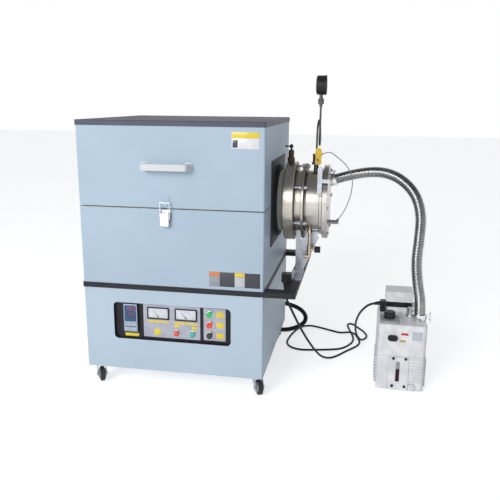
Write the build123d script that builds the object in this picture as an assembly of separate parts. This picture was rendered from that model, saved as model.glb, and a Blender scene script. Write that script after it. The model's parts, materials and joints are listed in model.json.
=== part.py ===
"""Hinged tube furnace with a sealed flange, a gauge line, a bellows hose and a vacuum pump.

Millimetres.  The origin is the centre of the cabinet's footprint on the floor, +X points to the
flange and the pump, +Y to the back and +Z up.  Every piece is written to parts/NODE.step.
"""
import math
import os

from build123d import *

# ---------------------------------------------------------------- driving dimensions
# cabinet
cabinet_w = 600          # width of the painted panels
cabinet_d = 590          # depth of the painted panels
sheet = 2                # thickness of the painted sheet
floor_gap = 65           # underside of the cabinet above the floor
lower_h = 279            # height of the lower cabinet
band_t = 17              # thickness of the black base frame
shell_h = 251            # height of the fixed half of the furnace casing
seam_gap = 4             # gap between the fixed half and the lid
lid_h = 251              # height of the lid's casing
top_t = 16               # thickness of the black top plate
overhang = 2             # how far the base frame and the top plate stand proud
corner_r = 6             # rounding of the casing's upright corners
fit_gap = 0.4            # clearance between pieces that slide past or into one another

# hot zone
axis_drop = 4            # tube axis below the rim of the fixed half
tube_r = 105             # outer radius of the closed-end work tube
tube_wall = 6
tube_closed_x = -224     # outside of the tube's closed end
tube_open_x = 350        # open end of the tube, inside the inner flange
tube_hole_gap = 3        # radial gap round the tube in the insulation and the casing
chamber_r = 121          # radius of the heated half cylinder
chamber_x = 232          # half length of the heated half cylinder
element_r = 4            # radius of a heating element
element_count = 5        # heating elements in each half

# side plates round the tube, on the right side of the casing
plate_w = 330
plate_h = 280
plate_t = 3
collar_r = 122
collar_len = 9

# flange train
inner_flange_x = 332
inner_flange_t = 35
inner_flange_r = 135
sleeve_r = 106           # compression sleeve and neck
ring_x = 391
ring_t = 9
ring_r = 130
neck_x = 406
neck_end_x = 459
neck_bore_r = 97
end_flange_t = 18
end_flange_r = 126
bolt_circle_r = 119
bolt_r = 4
bolt_count = 6
seal_r = 3.4

# control panel
panel_x = -2.25
panel_z = 234
panel_w = 395
panel_h = 126
panel_r = 14
panel_recess = 12

# lid furniture
handle_x = -6
handle_z = 745
handle_w = 154
handle_bar_h = 20
handle_reach = 38
latch_x = -12

# casters
wheel_r = 25
wheel_w = 22
caster_x = 274
caster_y = 250
caster_trail = 22
caster_turn = 30         # degrees that the front casters stand turned
axle_r = 4

# vacuum pump
pump_x = 742
pump_w = 156
pump_front = -160
pump_case_d = 140
pump_case_h = 234
pump_foot = 6
motor_r = 66
motor_len = 150

# hose and cords
hose_r = 18.5
lead_r = 4
mains_r = 9

# ---------------------------------------------------------------- places worked out from them
front = -cabinet_d / 2
back = cabinet_d / 2
right = cabinet_w / 2
base_z = floor_gap + lower_h
band_z = base_z + band_t
rim_z = band_z + shell_h
lid_z = rim_z + seam_gap
roof_z = lid_z + lid_h
axis_z = rim_z - axis_drop
inner_flange_end = inner_flange_x + inner_flange_t
end_flange_x = neck_end_x + 1
end_face_x = end_flange_x + end_flange_t
pump_rear = pump_front + pump_case_d
pump_axis_z = 122

parts = {}


# ---------------------------------------------------------------- helpers
def block(x0, x1, y0, y1, z0, z1):
    """A box between two corners."""
    return Pos((x0 + x1) / 2, (y0 + y1) / 2, (z0 + z1) / 2) * Box(x1 - x0, y1 - y0, z1 - z0)


def rod(start, direction, radius, length):
    """A cylinder that starts at a point and runs along a direction."""
    return Plane(origin=start, z_dir=direction) * Cylinder(
        radius, length, align=(Align.CENTER, Align.CENTER, Align.MIN)
    )


def turned(start, direction, profile):
    """A turned solid: profile lists (distance along the axis, radius) round the closed section."""
    points = [(radius, 0, along) for along, radius in profile]
    section = make_face(Polyline(*points, close=True))
    return Plane(origin=start, z_dir=direction) * revolve(section, Axis.Z)


def soften(solid, axis, radius):
    """Round all edges that run along an axis."""
    return fillet(solid.edges().filter_by(axis), radius)


def hexagon(start, direction, across_flats, length):
    """A hexagonal bar."""
    plane = Plane(origin=start, z_dir=direction)
    return plane * extrude(RegularPolygon(across_flats / 2, 6, major_radius=False), length)


def group(*solids):
    """Several separate solids of one node."""
    members = []
    for solid in solids:
        members.extend(solid.solids())
    return Compound(children=members)


def rounded_plate(centre, x_dir, z_dir, width, height, radius, thickness):
    """A flat plate with rounded corners, built up along z_dir."""
    plane = Plane(origin=centre, x_dir=x_dir, z_dir=z_dir)
    return plane * extrude(RectangleRounded(width, height, radius), thickness)


def tube_hole(x0, x1, gap=tube_hole_gap):
    """The round passage of the work tube between two stations."""
    return rod((x0, 0, axis_z), (1, 0, 0), tube_r + gap, x1 - x0)


def cord_tube(points, radius, label):
    """A tube along straight runs joined by the largest tangent arcs that the runs allow."""
    vectors = [Vector(*p) for p in points]
    radii = []
    for before, here, after in zip(vectors, vectors[1:], vectors[2:]):
        run_in = here - before
        run_out = after - here
        half_turn = math.radians(run_in.get_angle(run_out)) / 2
        radii.append(0.45 * min(run_in.length, run_out.length) / math.tan(half_turn))
    path = FilletPolyline(*vectors, radius=radii)
    start = Plane(origin=vectors[0], z_dir=vectors[1] - vectors[0])
    solid = sweep(start * Circle(radius), path=path)
    expected = math.pi * radius ** 2 * path.length
    print(
        f"{label}: length {path.length:.0f}, radii {[round(r) for r in radii]},"
        f" volume ratio {solid.volume / expected:.4f}"
    )
    return solid


# ---------------------------------------------------------------- lower cabinet and base frame
def casing(z0, z1, open_bottom=False, open_top=False):
    """A folded sheet casing with rounded upright corners and one or two open ends."""
    outer = soften(block(-right, right, front, back, z0, z1), Axis.Z, corner_r)
    z_in0 = z0 - sheet if open_bottom else z0 + sheet
    z_in1 = z1 + sheet if open_top else z1 - sheet
    inner = block(-right + sheet, right - sheet, front + sheet, back - sheet, z_in0, z_in1)
    return outer - soften(inner, Axis.Z, corner_r - sheet)


def caster_plate(x, y):
    """The plate and bearing race of a caster, under the cabinet floor."""
    plate = soften(block(x - 24, x + 24, y - 20, y + 20, floor_gap - 3, floor_gap), Axis.Z, 4)
    return plate + rod((x, y, floor_gap - 7), (0, 0, 1), 16, 5)


def caster_fork(x, y, top_z):
    """A sheet fork with trail towards -Y, its two cheeks each side of the wheel."""
    cheek_in = wheel_w / 2 + 1.5
    cheek_t = 2.5
    wheel_y = y - caster_trail
    outline = make_face(Polyline(
        (y + 14, top_z), (y - 18, top_z), (wheel_y - 9, wheel_r + 3),
        (wheel_y - 7, wheel_r - 8), (wheel_y + 7, wheel_r - 8), (wheel_y + 9, wheel_r + 2), close=True,
    ))
    outline = fillet(outline.vertices().sort_by(Axis.Y)[:2], 5)
    fork = block(x - cheek_in - cheek_t, x + cheek_in + cheek_t, y - 18, y + 14, top_z - 3, top_z)
    for side in (-1, 1):
        cheek_x = x + side * (cheek_in + cheek_t / 2) - cheek_t / 2
        plane = Plane(origin=(cheek_x, 0, 0), x_dir=(0, 1, 0), z_dir=(1, 0, 0))
        fork += plane * extrude(outline, cheek_t)
    axle_len = 2 * (cheek_in + cheek_t) + 6
    fork += rod((x - axle_len / 2, wheel_y, wheel_r), (1, 0, 0), axle_r, axle_len)
    for side in (-1, 1):
        fork += hexagon((x + side * (cheek_in + cheek_t), wheel_y, wheel_r), (side, 0, 0), 11, 3)
    return fork


def caster_wheel(x, y):
    """A wheel with a rounded tread and a hub bored for the axle."""
    half = wheel_w / 2
    profile = [
        (-half, axle_r + 0.05), (half, axle_r + 0.05), (half, wheel_r - 9), (half - 3, wheel_r - 8),
        (half - 3, wheel_r - 4), (half - 5, wheel_r), (-half + 5, wheel_r), (-half + 3, wheel_r - 4),
        (-half + 3, wheel_r - 8), (-half, wheel_r - 9),
    ]
    return turned((x, y - caster_trail, wheel_r), (1, 0, 0), profile)


def turned_caster(solid, x, y):
    """Turn a front caster about its kingpin."""
    pin = Axis((x, y, 0), (0, 0, 1))
    return solid.rotate(pin, caster_turn)


lower_cabinet = casing(floor_gap, base_z, open_top=True)
panel_plane = Plane(origin=(panel_x, front, panel_z), x_dir=(1, 0, 0), z_dir=(0, -1, 0))
lower_cabinet -= panel_plane * extrude(RectangleRounded(panel_w, panel_h, panel_r), sheet * 4, both=True)
rear_open_w = cabinet_w - 80
rear_open_h = lower_h - 50
lower_mid_z = (floor_gap + base_z) / 2
lower_cabinet -= block(
    -rear_open_w / 2, rear_open_w / 2, back - 2 * sheet, back + sheet,
    lower_mid_z - rear_open_h / 2, lower_mid_z + rear_open_h / 2,
)
race_z = floor_gap - 7
fork_top = race_z - 0.3
rear_casters = []
for side in (-1, 1):
    rear_casters.append(caster_fork(side * caster_x, caster_y, race_z))
caster_plates = [caster_plate(sx * caster_x, sy * caster_y) for sx in (-1, 1) for sy in (-1, 1)]
parts["lower_cabinet"] = group(lower_cabinet, *caster_plates, *rear_casters)

for name, side in (("front_left", -1), ("front_right", 1)):
    fork = caster_fork(side * caster_x, -caster_y, fork_top)
    wheel = caster_wheel(side * caster_x, -caster_y)
    parts[f"{name}_fork"] = turned_caster(fork, side * caster_x, -caster_y)
    parts[f"{name}_wheel"] = turned_caster(wheel, side * caster_x, -caster_y)
parts["rear_left_wheel"] = caster_wheel(-caster_x, caster_y)
parts["rear_right_wheel"] = caster_wheel(caster_x, caster_y)

# rear cover with louvres and the hole of the cable gland
rear_cover_t = 1.5
gland_x = 232
gland_z = 108
gland_hole_r = 14
rear_panel = rounded_plate(
    (0, back, lower_mid_z), (1, 0, 0), (0, 1, 0), rear_open_w + 24, rear_open_h + 24, 6, rear_cover_t
)
louvre_w = 90
louvre_rows = 6
for column_x in (-150, 0):
    for row in range(louvre_rows):
        slot_z = lower_mid_z - 40 + row * 18
        rear_panel -= block(
            column_x - louvre_w / 2, column_x + louvre_w / 2, back - 1, back + 3, slot_z - 2.5, slot_z + 2.5
        )
rear_panel -= rod((gland_x, back - 5, gland_z), (0, 1, 0), gland_hole_r, 10)
parts["rear_panel"] = rear_panel

# base frame: the black plate under the furnace with its open shelf on the right
shelf_x = 400            # right edge of the shelf
arm_d = 40               # depth of the shelf's front and rear arms
rail_w = 40              # width of the rail that joins them
base_frame = soften(
    block(-right - overhang, right + overhang, front - overhang, back + overhang, base_z, band_z), Axis.Z, 4
)
shelf = block(right - 20, shelf_x, front - overhang, back + overhang, base_z, band_z)
shelf -= block(right + overhang, shelf_x - rail_w, front + arm_d, back - arm_d, base_z - 1, band_z + 1)
base_frame += soften(shelf, Axis.Z, 3)
parts["base_frame"] = base_frame

# ---------------------------------------------------------------- furnace casing and heater modules
furnace_shell = casing(band_z, rim_z, open_top=True) - tube_hole(right - 10, right + 10)
parts["furnace_shell"] = furnace_shell
lid_shell = casing(lid_z, roof_z, open_bottom=True) - tube_hole(right - 10, right + 10)


def heater_module(z0, z1, sign):
    """Half of the fibre insulation with its heating elements set into grooves."""
    inset = sheet
    body = soften(
        block(-right + inset, right - inset, front + inset, back - inset, z0, z1), Axis.Z, corner_r - inset
    )
    body -= rod((-chamber_x, 0, axis_z), (1, 0, 0), chamber_r, 2 * chamber_x)
    body -= tube_hole(chamber_x - 1, right)
    solids = []
    for index in range(element_count):
        angle = math.radians(180 * (index + 0.5) / element_count)
        centre_y = chamber_r * math.cos(angle)
        centre_z = axis_z + sign * chamber_r * math.sin(angle)
        element = rod((-chamber_x, centre_y, centre_z), (1, 0, 0), element_r, 2 * chamber_x)
        body -= element
        solids.append(element)
    return group(body, *solids)


module_rim = 1           # the insulation lies this far inside the casing's rim
parts["lower_heater_module"] = heater_module(band_z + sheet, rim_z - module_rim, -1)
parts["upper_heater_module"] = heater_module(lid_z + module_rim, roof_z - sheet, 1)

# closed-end work tube
tube_inner_r = tube_r - tube_wall
dome = 22
parts["retort_tube"] = turned((tube_closed_x, 0, axis_z), (1, 0, 0), [
    (0, 0), (0, tube_r - dome), (dome / 3, tube_r - dome / 3), (dome, tube_r),
    (tube_open_x - tube_closed_x, tube_r), (tube_open_x - tube_closed_x, tube_inner_r),
    (dome + tube_wall / 2, tube_inner_r), (dome / 3 + tube_wall, tube_inner_r - dome / 3),
    (tube_wall, tube_r - dome - tube_wall), (tube_wall, 0),
])


# ---------------------------------------------------------------- side plates, hinges, handle, latch
def side_plate(z0, z1):
    """Half of the black plate with its half collar round the tube."""
    plate = block(right, right + plate_t, -plate_w / 2, plate_w / 2, z0, z1)
    collar_end = right + plate_t + collar_len
    collar = rod((right + plate_t, 0, axis_z), (1, 0, 0), collar_r, collar_len)
    collar &= block(right, collar_end, -collar_r, collar_r, z0, z1)
    return plate + collar - tube_hole(right - 1, collar_end + 1)


plate_mid_z = 615
parts["lower_side_plate"] = side_plate(plate_mid_z - plate_h / 2, rim_z)
parts["upper_side_plate"] = side_plate(lid_z, plate_mid_z + plate_h / 2)

# rear hinges: knuckles on the fixed half hold the pins, arms on the lid turn about them
hinge_y = back + 11
hinge_z = (rim_z + lid_z) / 2
hinge_r = 7
hinge_pin_r = 3.5
hinge_len = 80
hinge_x = (-200, 200)
leaf_t = 3
leaf_h = 50


def hinge_leaf(x0, x1, side):
    """A leaf on the casing's back, a web and one knuckle; side is 1 for the lid and -1 below."""
    near, far = hinge_z + side * 3, hinge_z + side * leaf_h
    leaf = block(x0, x1, back, back + leaf_t, min(near, far), max(near, far))
    web_z = hinge_z + side * (hinge_r - 1.5)
    leaf += block(x0, x1, back, hinge_y, web_z - 1.5, web_z + 1.5)
    return leaf + rod((x0, hinge_y, hinge_z), (1, 0, 0), hinge_r, x1 - x0)


fixed_leaves = []
lid_arms = []
knuckle = hinge_len / 4
for x in hinge_x:
    leaf = rod((x - hinge_len / 2 - 3, hinge_y, hinge_z), (1, 0, 0), hinge_pin_r, hinge_len + 6)
    for x0 in (x - hinge_len / 2, x + hinge_len / 2 - knuckle):
        leaf += hinge_leaf(x0, x0 + knuckle, -1)
    fixed_leaves.append(leaf)
    arm = hinge_leaf(x - knuckle + 0.5, x + knuckle - 0.5, 1)
    arm -= rod((x - hinge_len, hinge_y, hinge_z), (1, 0, 0), hinge_pin_r + 0.05, 2 * hinge_len)
    lid_arms.append(arm)
parts["hinge_leaves"] = group(*fixed_leaves)
parts["lid_hinge_arms"] = group(*lid_arms)

# black top plate
top_plate = soften(
    block(-right - overhang, right + overhang, front - overhang, back + overhang, roof_z, roof_z + top_t),
    Axis.Z, corner_r,
)
parts["top_plate"] = chamfer(top_plate.faces().sort_by(Axis.Z)[-1].edges(), 1.5)

# bridge handle on the lid
foot_t = 3
leg_w = 15
bar_t = 11
half_w = handle_w / 2
handle_plane = Plane(origin=(handle_x, 0, handle_z - handle_bar_h / 2), x_dir=(1, 0, 0), z_dir=(0, 0, 1))
bridge = Polyline(
    (-half_w, front - foot_t), (-half_w + 4, front - handle_reach), (half_w - 4, front - handle_reach),
    (half_w, front - foot_t), (half_w - leg_w, front - foot_t),
    (half_w - leg_w - 3, front - handle_reach + bar_t), (-half_w + leg_w + 3, front - handle_reach + bar_t),
    (-half_w + leg_w, front - foot_t), close=True,
)
bridge_face = make_face(bridge)
outer_corners = bridge_face.vertices().sort_by(Axis.Y)[:2]
bridge_face = fillet(outer_corners, 9)
handle = handle_plane * extrude(bridge_face, handle_bar_h)
for side in (-1, 1):
    centre = (handle_x + side * (half_w - leg_w / 2), front, handle_z)
    handle += rounded_plate(centre, (1, 0, 0), (0, -1, 0), leg_w + 7, handle_bar_h + 8, 4, foot_t)
parts["lid_handle"] = handle

# toggle latch: base and lever on the fixed half, bail on the lever, keeper on the lid
latch_z = 600
lever_y = front - 7
bail_y = front - 12
bail_z = latch_z - 16
bail_top_z = 634
bail_wire_r = 1.5
bail_half = 15.2
lever_half = 13
lever_plate_y = front - 17
lever_low_z = 557
pin_r = 2
running = 0.06
latch_base = rounded_plate((latch_x, front, latch_z - 13), (1, 0, 0), (0, -1, 0), 24, 46, 3, 2)
for side in (-1, 1):
    ear_x = latch_x + side * 8
    latch_base += block(ear_x - 1, ear_x + 1, front - 10.5, front, latch_z - 6, latch_z + 4.5)
latch_base += rod((latch_x - lever_half, lever_y, latch_z), (1, 0, 0), pin_r, 2 * lever_half)
parts["latch_base"] = latch_base

ear_outline = make_face(Polyline(
    (lever_y + 3.5, latch_z + 3.5), (lever_y + 3.5, latch_z - 5), (bail_y + 3, bail_z - 4),
    (lever_plate_y + 1, lever_low_z + 12), (lever_plate_y, lever_low_z + 12),
    (lever_plate_y, latch_z + 1), (lever_y - 2, latch_z + 3.5), close=True,
))
ear_t = 1.6
lever = block(
    latch_x - lever_half, latch_x + lever_half, lever_plate_y, lever_plate_y + 2, lever_low_z + 8, latch_z + 1
)
lever += rod((latch_x - lever_half, lever_plate_y - 0.5, lever_low_z + 6.5), (1, 0, 0), 3.2, 2 * lever_half)
for side in (-1, 1):
    ear_x = latch_x + side * (lever_half - ear_t / 2) - ear_t / 2
    lever += Plane(origin=(ear_x, 0, 0), x_dir=(0, 1, 0), z_dir=(1, 0, 0)) * extrude(ear_outline, ear_t)
lever -= rod((latch_x - 20, lever_y, latch_z), (1, 0, 0), pin_r + running, 40)
lever -= rod((latch_x - 20, bail_y, bail_z), (1, 0, 0), bail_wire_r + running, 40)
parts["latch_lever"] = lever

bail = rod((latch_x - bail_half, bail_y, bail_z), (1, 0, 0), bail_wire_r, 2 * bail_half)
bail += rod((latch_x - bail_half, bail_y, bail_top_z), (1, 0, 0), bail_wire_r, 2 * bail_half)
for side in (-1, 1):
    bail += rod((latch_x + side * bail_half, bail_y, bail_z), (0, 0, 1), bail_wire_r, bail_top_z - bail_z)
    for z in (bail_z, bail_top_z):
        bail += Pos(latch_x + side * bail_half, bail_y, z) * Sphere(bail_wire_r)
parts["latch_bail"] = bail

keeper = rounded_plate((latch_x, front, 636), (1, 0, 0), (0, -1, 0), 24, 34, 3, 2)
keeper += block(latch_x - 9, latch_x + 9, front - 9.6, front, 625, 628)
keeper += block(latch_x - 9, latch_x + 9, front - 9.6, front - 7.6, 625, 633)
parts["lid_shell"] = group(lid_shell, keeper)

# ---------------------------------------------------------------- flange train on the work tube
parts["inner_flange"] = turned((inner_flange_x, 0, axis_z), (1, 0, 0), [
    (0, tube_r + fit_gap), (tube_open_x - inner_flange_x + fit_gap, tube_r + fit_gap),
    (tube_open_x - inner_flange_x + fit_gap, neck_bore_r), (inner_flange_t, neck_bore_r),
    (inner_flange_t, inner_flange_r - 2), (inner_flange_t - 2, inner_flange_r),
    (2, inner_flange_r), (0, inner_flange_r - 2),
])

# neck: compression sleeve, clamp ring, seal groove and the long neck in one turned body
neck_origin = inner_flange_end
sleeve_end = ring_x - neck_origin
ring_end = sleeve_end + ring_t
groove_end = neck_x - neck_origin
neck_end = neck_end_x - neck_origin
rim_w = 9
neck = turned((neck_origin, 0, axis_z), (1, 0, 0), [
    (0, neck_bore_r), (neck_end + 1, neck_bore_r), (neck_end + 1, sleeve_r + 7), (neck_end - rim_w, sleeve_r + 7),
    (neck_end - rim_w, sleeve_r), (groove_end, sleeve_r), (groove_end - 1, sleeve_r - 5),
    (ring_end, sleeve_r - 5), (ring_end, ring_r - 1), (ring_end - 1, ring_r),
    (sleeve_end + 1, ring_r), (sleeve_end, ring_r - 1), (sleeve_end, sleeve_r), (0, sleeve_r),
])
# lug of the flange latch, on the front of the neck
latch_pin_x = 453
latch_pin_z = 650
arm_y = -113
lug_w = 12
lug = block(latch_pin_x - lug_w / 2, latch_pin_x + lug_w / 2, arm_y + 5, -80, latch_pin_z - 7, latch_pin_z + 7)
lug -= rod((neck_origin - 5, 0, axis_z), (1, 0, 0), sleeve_r - 2, 200)
neck += lug
neck += rod((latch_pin_x, arm_y - 9, latch_pin_z), (0, 1, 0), pin_r + 1, 20)
parts["flange_neck"] = neck

# end flange with the angled cuff of the bellows hose and the port of the capillary
cuff_angle = math.radians(18)
cuff_dir = (math.cos(cuff_angle), 0, math.sin(cuff_angle))
cuff_start = (end_face_x - 4, 60, 672)
cuff_len = 20
cuff_r = 20
capillary_port = (end_face_x, 0, 537)
end_flange = turned((end_flange_x, 0, axis_z), (1, 0, 0), [
    (0, 0), (0, end_flange_r - 1), (1, end_flange_r), (end_flange_t - 1.5, end_flange_r),
    (end_flange_t, end_flange_r - 1.5), (end_flange_t, 0),
])
end_flange += rod(cuff_start, cuff_dir, cuff_r, cuff_len)
parts["end_flange"] = end_flange


def flange_bolt(angle):
    """A clamping bolt through the inner flange and the clamp ring, with its nut."""
    bolt_y = bolt_circle_r * math.cos(angle)
    bolt_z = axis_z + bolt_circle_r * math.sin(angle)
    start_x = inner_flange_end - 12
    shank = rod((start_x, bolt_y, bolt_z), (1, 0, 0), bolt_r, ring_x + ring_t + 12 - start_x)
    nut = hexagon((ring_x + ring_t, bolt_y, bolt_z), (1, 0, 0), 13, 8)
    back_nut = hexagon((ring_x - 7, bolt_y, bolt_z), (1, 0, 0), 13, 7)
    return shank + nut + back_nut


def cap_screw(angle):
    """The head of a socket screw on the end flange."""
    screw_y = (end_flange_r - 12) * math.cos(angle)
    screw_z = axis_z + (end_flange_r - 12) * math.sin(angle)
    head = rod((end_face_x, screw_y, screw_z), (1, 0, 0), 5.5, 5)
    return head - hexagon((end_face_x + 2, screw_y, screw_z), (1, 0, 0), 5, 4)


bolt_angles = [math.radians(90 + 360 * index / bolt_count) for index in range(bolt_count)]
bolts = [flange_bolt(angle) for angle in bolt_angles]
screws = [cap_screw(angle + math.radians(60 / 2 + 3)) for angle in bolt_angles]
for bolt_hole in bolt_angles:
    hole_y = bolt_circle_r * math.cos(bolt_hole)
    hole_z = axis_z + bolt_circle_r * math.sin(bolt_hole)
    hole = rod((inner_flange_end - 12, hole_y, hole_z), (1, 0, 0), bolt_r, 60)
    parts["inner_flange"] -= hole
    parts["flange_neck"] -= hole
parts["flange_bolts"] = group(*bolts, *screws)

# swing latch that hooks over the end flange
claw_y0 = arm_y - 7
claw_y1 = arm_y + 3.5
claw_z = latch_pin_z + 36
arm = block(latch_pin_x - 9, latch_pin_x + 6, claw_y0, claw_y1, latch_pin_z, 730)
arm += rod((latch_pin_x, claw_y0, latch_pin_z), (0, 1, 0), 6.5, claw_y1 - claw_y0)
arm += rod((latch_pin_x - 1.5, claw_y0, 730), (0, 1, 0), 7.5, claw_y1 - claw_y0)
arm += block(latch_pin_x, end_face_x + 7, claw_y0, claw_y1, claw_z, claw_z + 12)
arm += block(end_face_x + 1, end_face_x + 7, claw_y0, claw_y1, claw_z - 6, claw_z + 12)
arm -= rod((latch_pin_x, arm_y - 30, latch_pin_z), (0, 1, 0), pin_r + 1 + running, 60)
parts["flange_latch"] = arm

# ---------------------------------------------------------------- valves and the gauge line
riser_x = 430
riser_r = 8
neck_top = axis_z + sleeve_r
valve_z = 752
valve_body_r = 12
stem_x = riser_x + 6
lever_y0 = -20.4
riser = rod((riser_x, 0, neck_top - 1), (0, 0, 1), riser_r, valve_z - neck_top)
riser += hexagon((riser_x, 0, valve_z - 18), (0, 0, 1), 26, 8)
riser += rod((riser_x, 0, valve_z - 12), (0, 0, 1), valve_body_r, 24)
riser += hexagon((riser_x, 0, valve_z + 10), (0, 0, 1), 22, 8)
riser += rod((stem_x, 0, valve_z), (0, -1, 0), 6, -lever_y0 - 0.4)
riser += rod((stem_x, 0, valve_z), (0, -1, 0), 3.5, 28)
riser -= rod((neck_origin - 5, 0, axis_z), (1, 0, 0), sleeve_r, 120)

# pigtail: a thin tube that makes one turn, then a hexagonal fitting under the gauge
pigtail_r = 3.4
loop_r = 42
loop_z = 838
loop_pitch = 9
line_top_z = 934
gauge_x = riser_x + loop_pitch
gauge_r = 32
gauge_body_r = gauge_r - 1
gauge_z = line_top_z + 29 + gauge_r
gauge_len = 33
gauge_left = gauge_x - 16
loop_steps = 12


def pigtail_route():
    """Up from the valve, once round in the plane of the side view, and up to the gauge."""
    route = [(riser_x, 0, valve_z + 17)]
    corner_r = loop_r / math.cos(math.pi / loop_steps)
    for index in range(loop_steps):
        turn = (index + 0.5) / loop_steps
        angle = 2 * math.pi * turn
        route.append((
            riser_x + loop_pitch * turn,
            loop_r - corner_r * math.cos(angle),
            loop_z + corner_r * math.sin(angle),
        ))
    route.append((gauge_x, 0, line_top_z))
    return route


pigtail = cord_tube(pigtail_route(), pigtail_r, "pigtail")
fitting = hexagon((gauge_x, 0, line_top_z), (0, 0, 1), 17, 18)
fitting += rod((gauge_x, 0, line_top_z + 17), (0, 0, 1), 6, 16)
fitting += rod((gauge_x, 0, line_top_z - 8), (0, 0, 1), 5.5, 9)
fitting -= rod((gauge_left - 1, 0, gauge_z), (1, 0, 0), gauge_body_r, gauge_len)
parts["gauge_line"] = riser + pigtail + fitting

lever_len = 56
lever_w = 21
valve_lever = rounded_plate(
    (stem_x + 2, lever_y0, valve_z + lever_len / 2 - 17), (1, 0, 0), (0, -1, 0), lever_w, lever_len, 8, 3
)
valve_lever += rod((stem_x, lever_y0, valve_z), (0, -1, 0), 7, 6)
valve_lever -= rod((stem_x, 0, valve_z), (0, -1, 0), 3.5 + running, 40)
parts["ball_valve_lever"] = valve_lever

gauge_rim = 3
dial_depth = 7
gauge_case = turned((gauge_left, 0, gauge_z), (1, 0, 0), [
    (0, 0), (0, gauge_body_r - 4), (3, gauge_body_r), (gauge_len - 8, gauge_body_r), (gauge_len - 7, gauge_r),
    (gauge_len, gauge_r), (gauge_len, gauge_r - gauge_rim), (gauge_len - dial_depth, gauge_r - gauge_rim),
    (gauge_len - dial_depth, 0),
])
needle_post_r = 1.5
post_len = 4.5
dial_x = gauge_left + gauge_len - dial_depth
gauge_case += rod((dial_x, 0, gauge_z), (1, 0, 0), needle_post_r, post_len)
parts["gauge_case"] = gauge_case
needle_t = 1.2
needle_gap = 1.5
needle = block(dial_x + needle_gap, dial_x + needle_gap + needle_t, -1, 1, gauge_z - 8, gauge_z + 22)
needle += rod((dial_x + needle_gap, 0, gauge_z), (1, 0, 0), 4, needle_t)
needle -= rod((dial_x, 0, gauge_z), (1, 0, 0), needle_post_r + running, 10)
rest_angle = 135
parts["gauge_needle"] = needle.rotate(Axis((0, 0, gauge_z), (1, 0, 0)), rest_angle)

# bleed valve on the inner flange
bleed_x = 344
bleed_top = axis_z + inner_flange_r
bleed_valve = hexagon((bleed_x, 0, bleed_top - 3), (0, 0, 1), 22, 15)
bleed_valve += rod((bleed_x, 0, bleed_top + 10), (0, 0, 1), 9.5, 24)
bleed_valve += hexagon((bleed_x, 0, bleed_top + 32), (0, 0, 1), 15, 7)
bleed_valve += rod((bleed_x, 0, bleed_top + 38), (0, 0, 1), 3.5, 20)
bleed_valve -= rod((inner_flange_x - 5, 0, axis_z), (1, 0, 0), inner_flange_r, 60)
parts["bleed_valve_body"] = bleed_valve
bleed_lever_z = bleed_top + 46
bleed_lever = rod((bleed_x, 0, bleed_lever_z), (0, 0, 1), 6.5, 9)
bleed_lever += rod((bleed_x, 0, bleed_lever_z + 4.5), (-1, 0, 0), 2.2, 18)
bleed_lever += Pos(bleed_x - 18, 0, bleed_lever_z + 4.5) * Sphere(3.4)
bleed_lever -= rod((bleed_x, 0, bleed_lever_z - 5), (0, 0, 1), 3.5 + running, 20)
parts["bleed_valve_lever"] = bleed_lever

# drain valve under the neck: brass body, black knob, steel elbow
drain_x = 420
drain_y = -70
drain_top = axis_z - math.sqrt(sleeve_r ** 2 - drain_y ** 2)
drain = rod((drain_x, drain_y, 446), (0, 0, 1), 4.5, drain_top - 446 + 8)
drain += hexagon((drain_x, drain_y, drain_top - 18), (0, 0, 1), 15, 10)
drain += rod((drain_x, drain_y, 440), (0, 0, 1), 8, 26)
drain += rod((drain_x, drain_y, 453), (1, 0, 0), 5.5, 15)
drain += rod((drain_x + 15, drain_y, 453), (1, 0, 0), 3, 12)
drain += rod((drain_x, drain_y, 432), (0, 0, 1), 6, 10)
drain += rod((drain_x + 3, drain_y, 428), (-1, 0, 0), 6.5, 22)
drain += Pos(drain_x, drain_y, 428) * Sphere(6.8)
drain -= rod((neck_origin - 5, 0, axis_z), (1, 0, 0), sleeve_r, 120)
parts["drain_valve_body"] = drain
knob_x = drain_x + 18
drain_knob = rod((knob_x, drain_y, 453), (1, 0, 0), 11, 20)
for index in range(8):
    flute_angle = math.radians(45 * index)
    flute_y = drain_y + 12.2 * math.cos(flute_angle)
    flute_z = 453 + 12.2 * math.sin(flute_angle)
    drain_knob -= rod((knob_x - 1, flute_y, flute_z), (1, 0, 0), 2.6, 22)
drain_knob -= rod((drain_x, drain_y, 453), (1, 0, 0), 3 + running, 27.3)
parts["drain_valve_knob"] = drain_knob

# capillary from the gauge line round to the needle valve on the end flange
capillary_r = 1.6
fitting_r = 6
capillary_route = [
    (440, -4, 766), (476, -6, 780), (504, -8, 758), (529, -8, 738), (547, -8, 712), (556, -6, 676),
    (551, -4, 632), (538, -2, 592), (522, 0, 562), (505, 0, 537),
]
capillary = cord_tube(capillary_route, capillary_r, "capillary")
capillary += hexagon((438, -4, 765.3), (36, -2, 14), 8, 11)
capillary -= riser
port = rod((end_face_x, 0, 537), (1, 0, 0), 5, 12)
port += hexagon((end_face_x + 2, 0, 537), (1, 0, 0), 15, 7)
port += rod((end_face_x + 11, 0, 537), (1, 0, 0), fitting_r + 1, 24)
port += rod((end_face_x + 26, 0, 537), (17, 0, 25), 4, 14)
parts["gas_capillary"] = capillary + port

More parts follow.
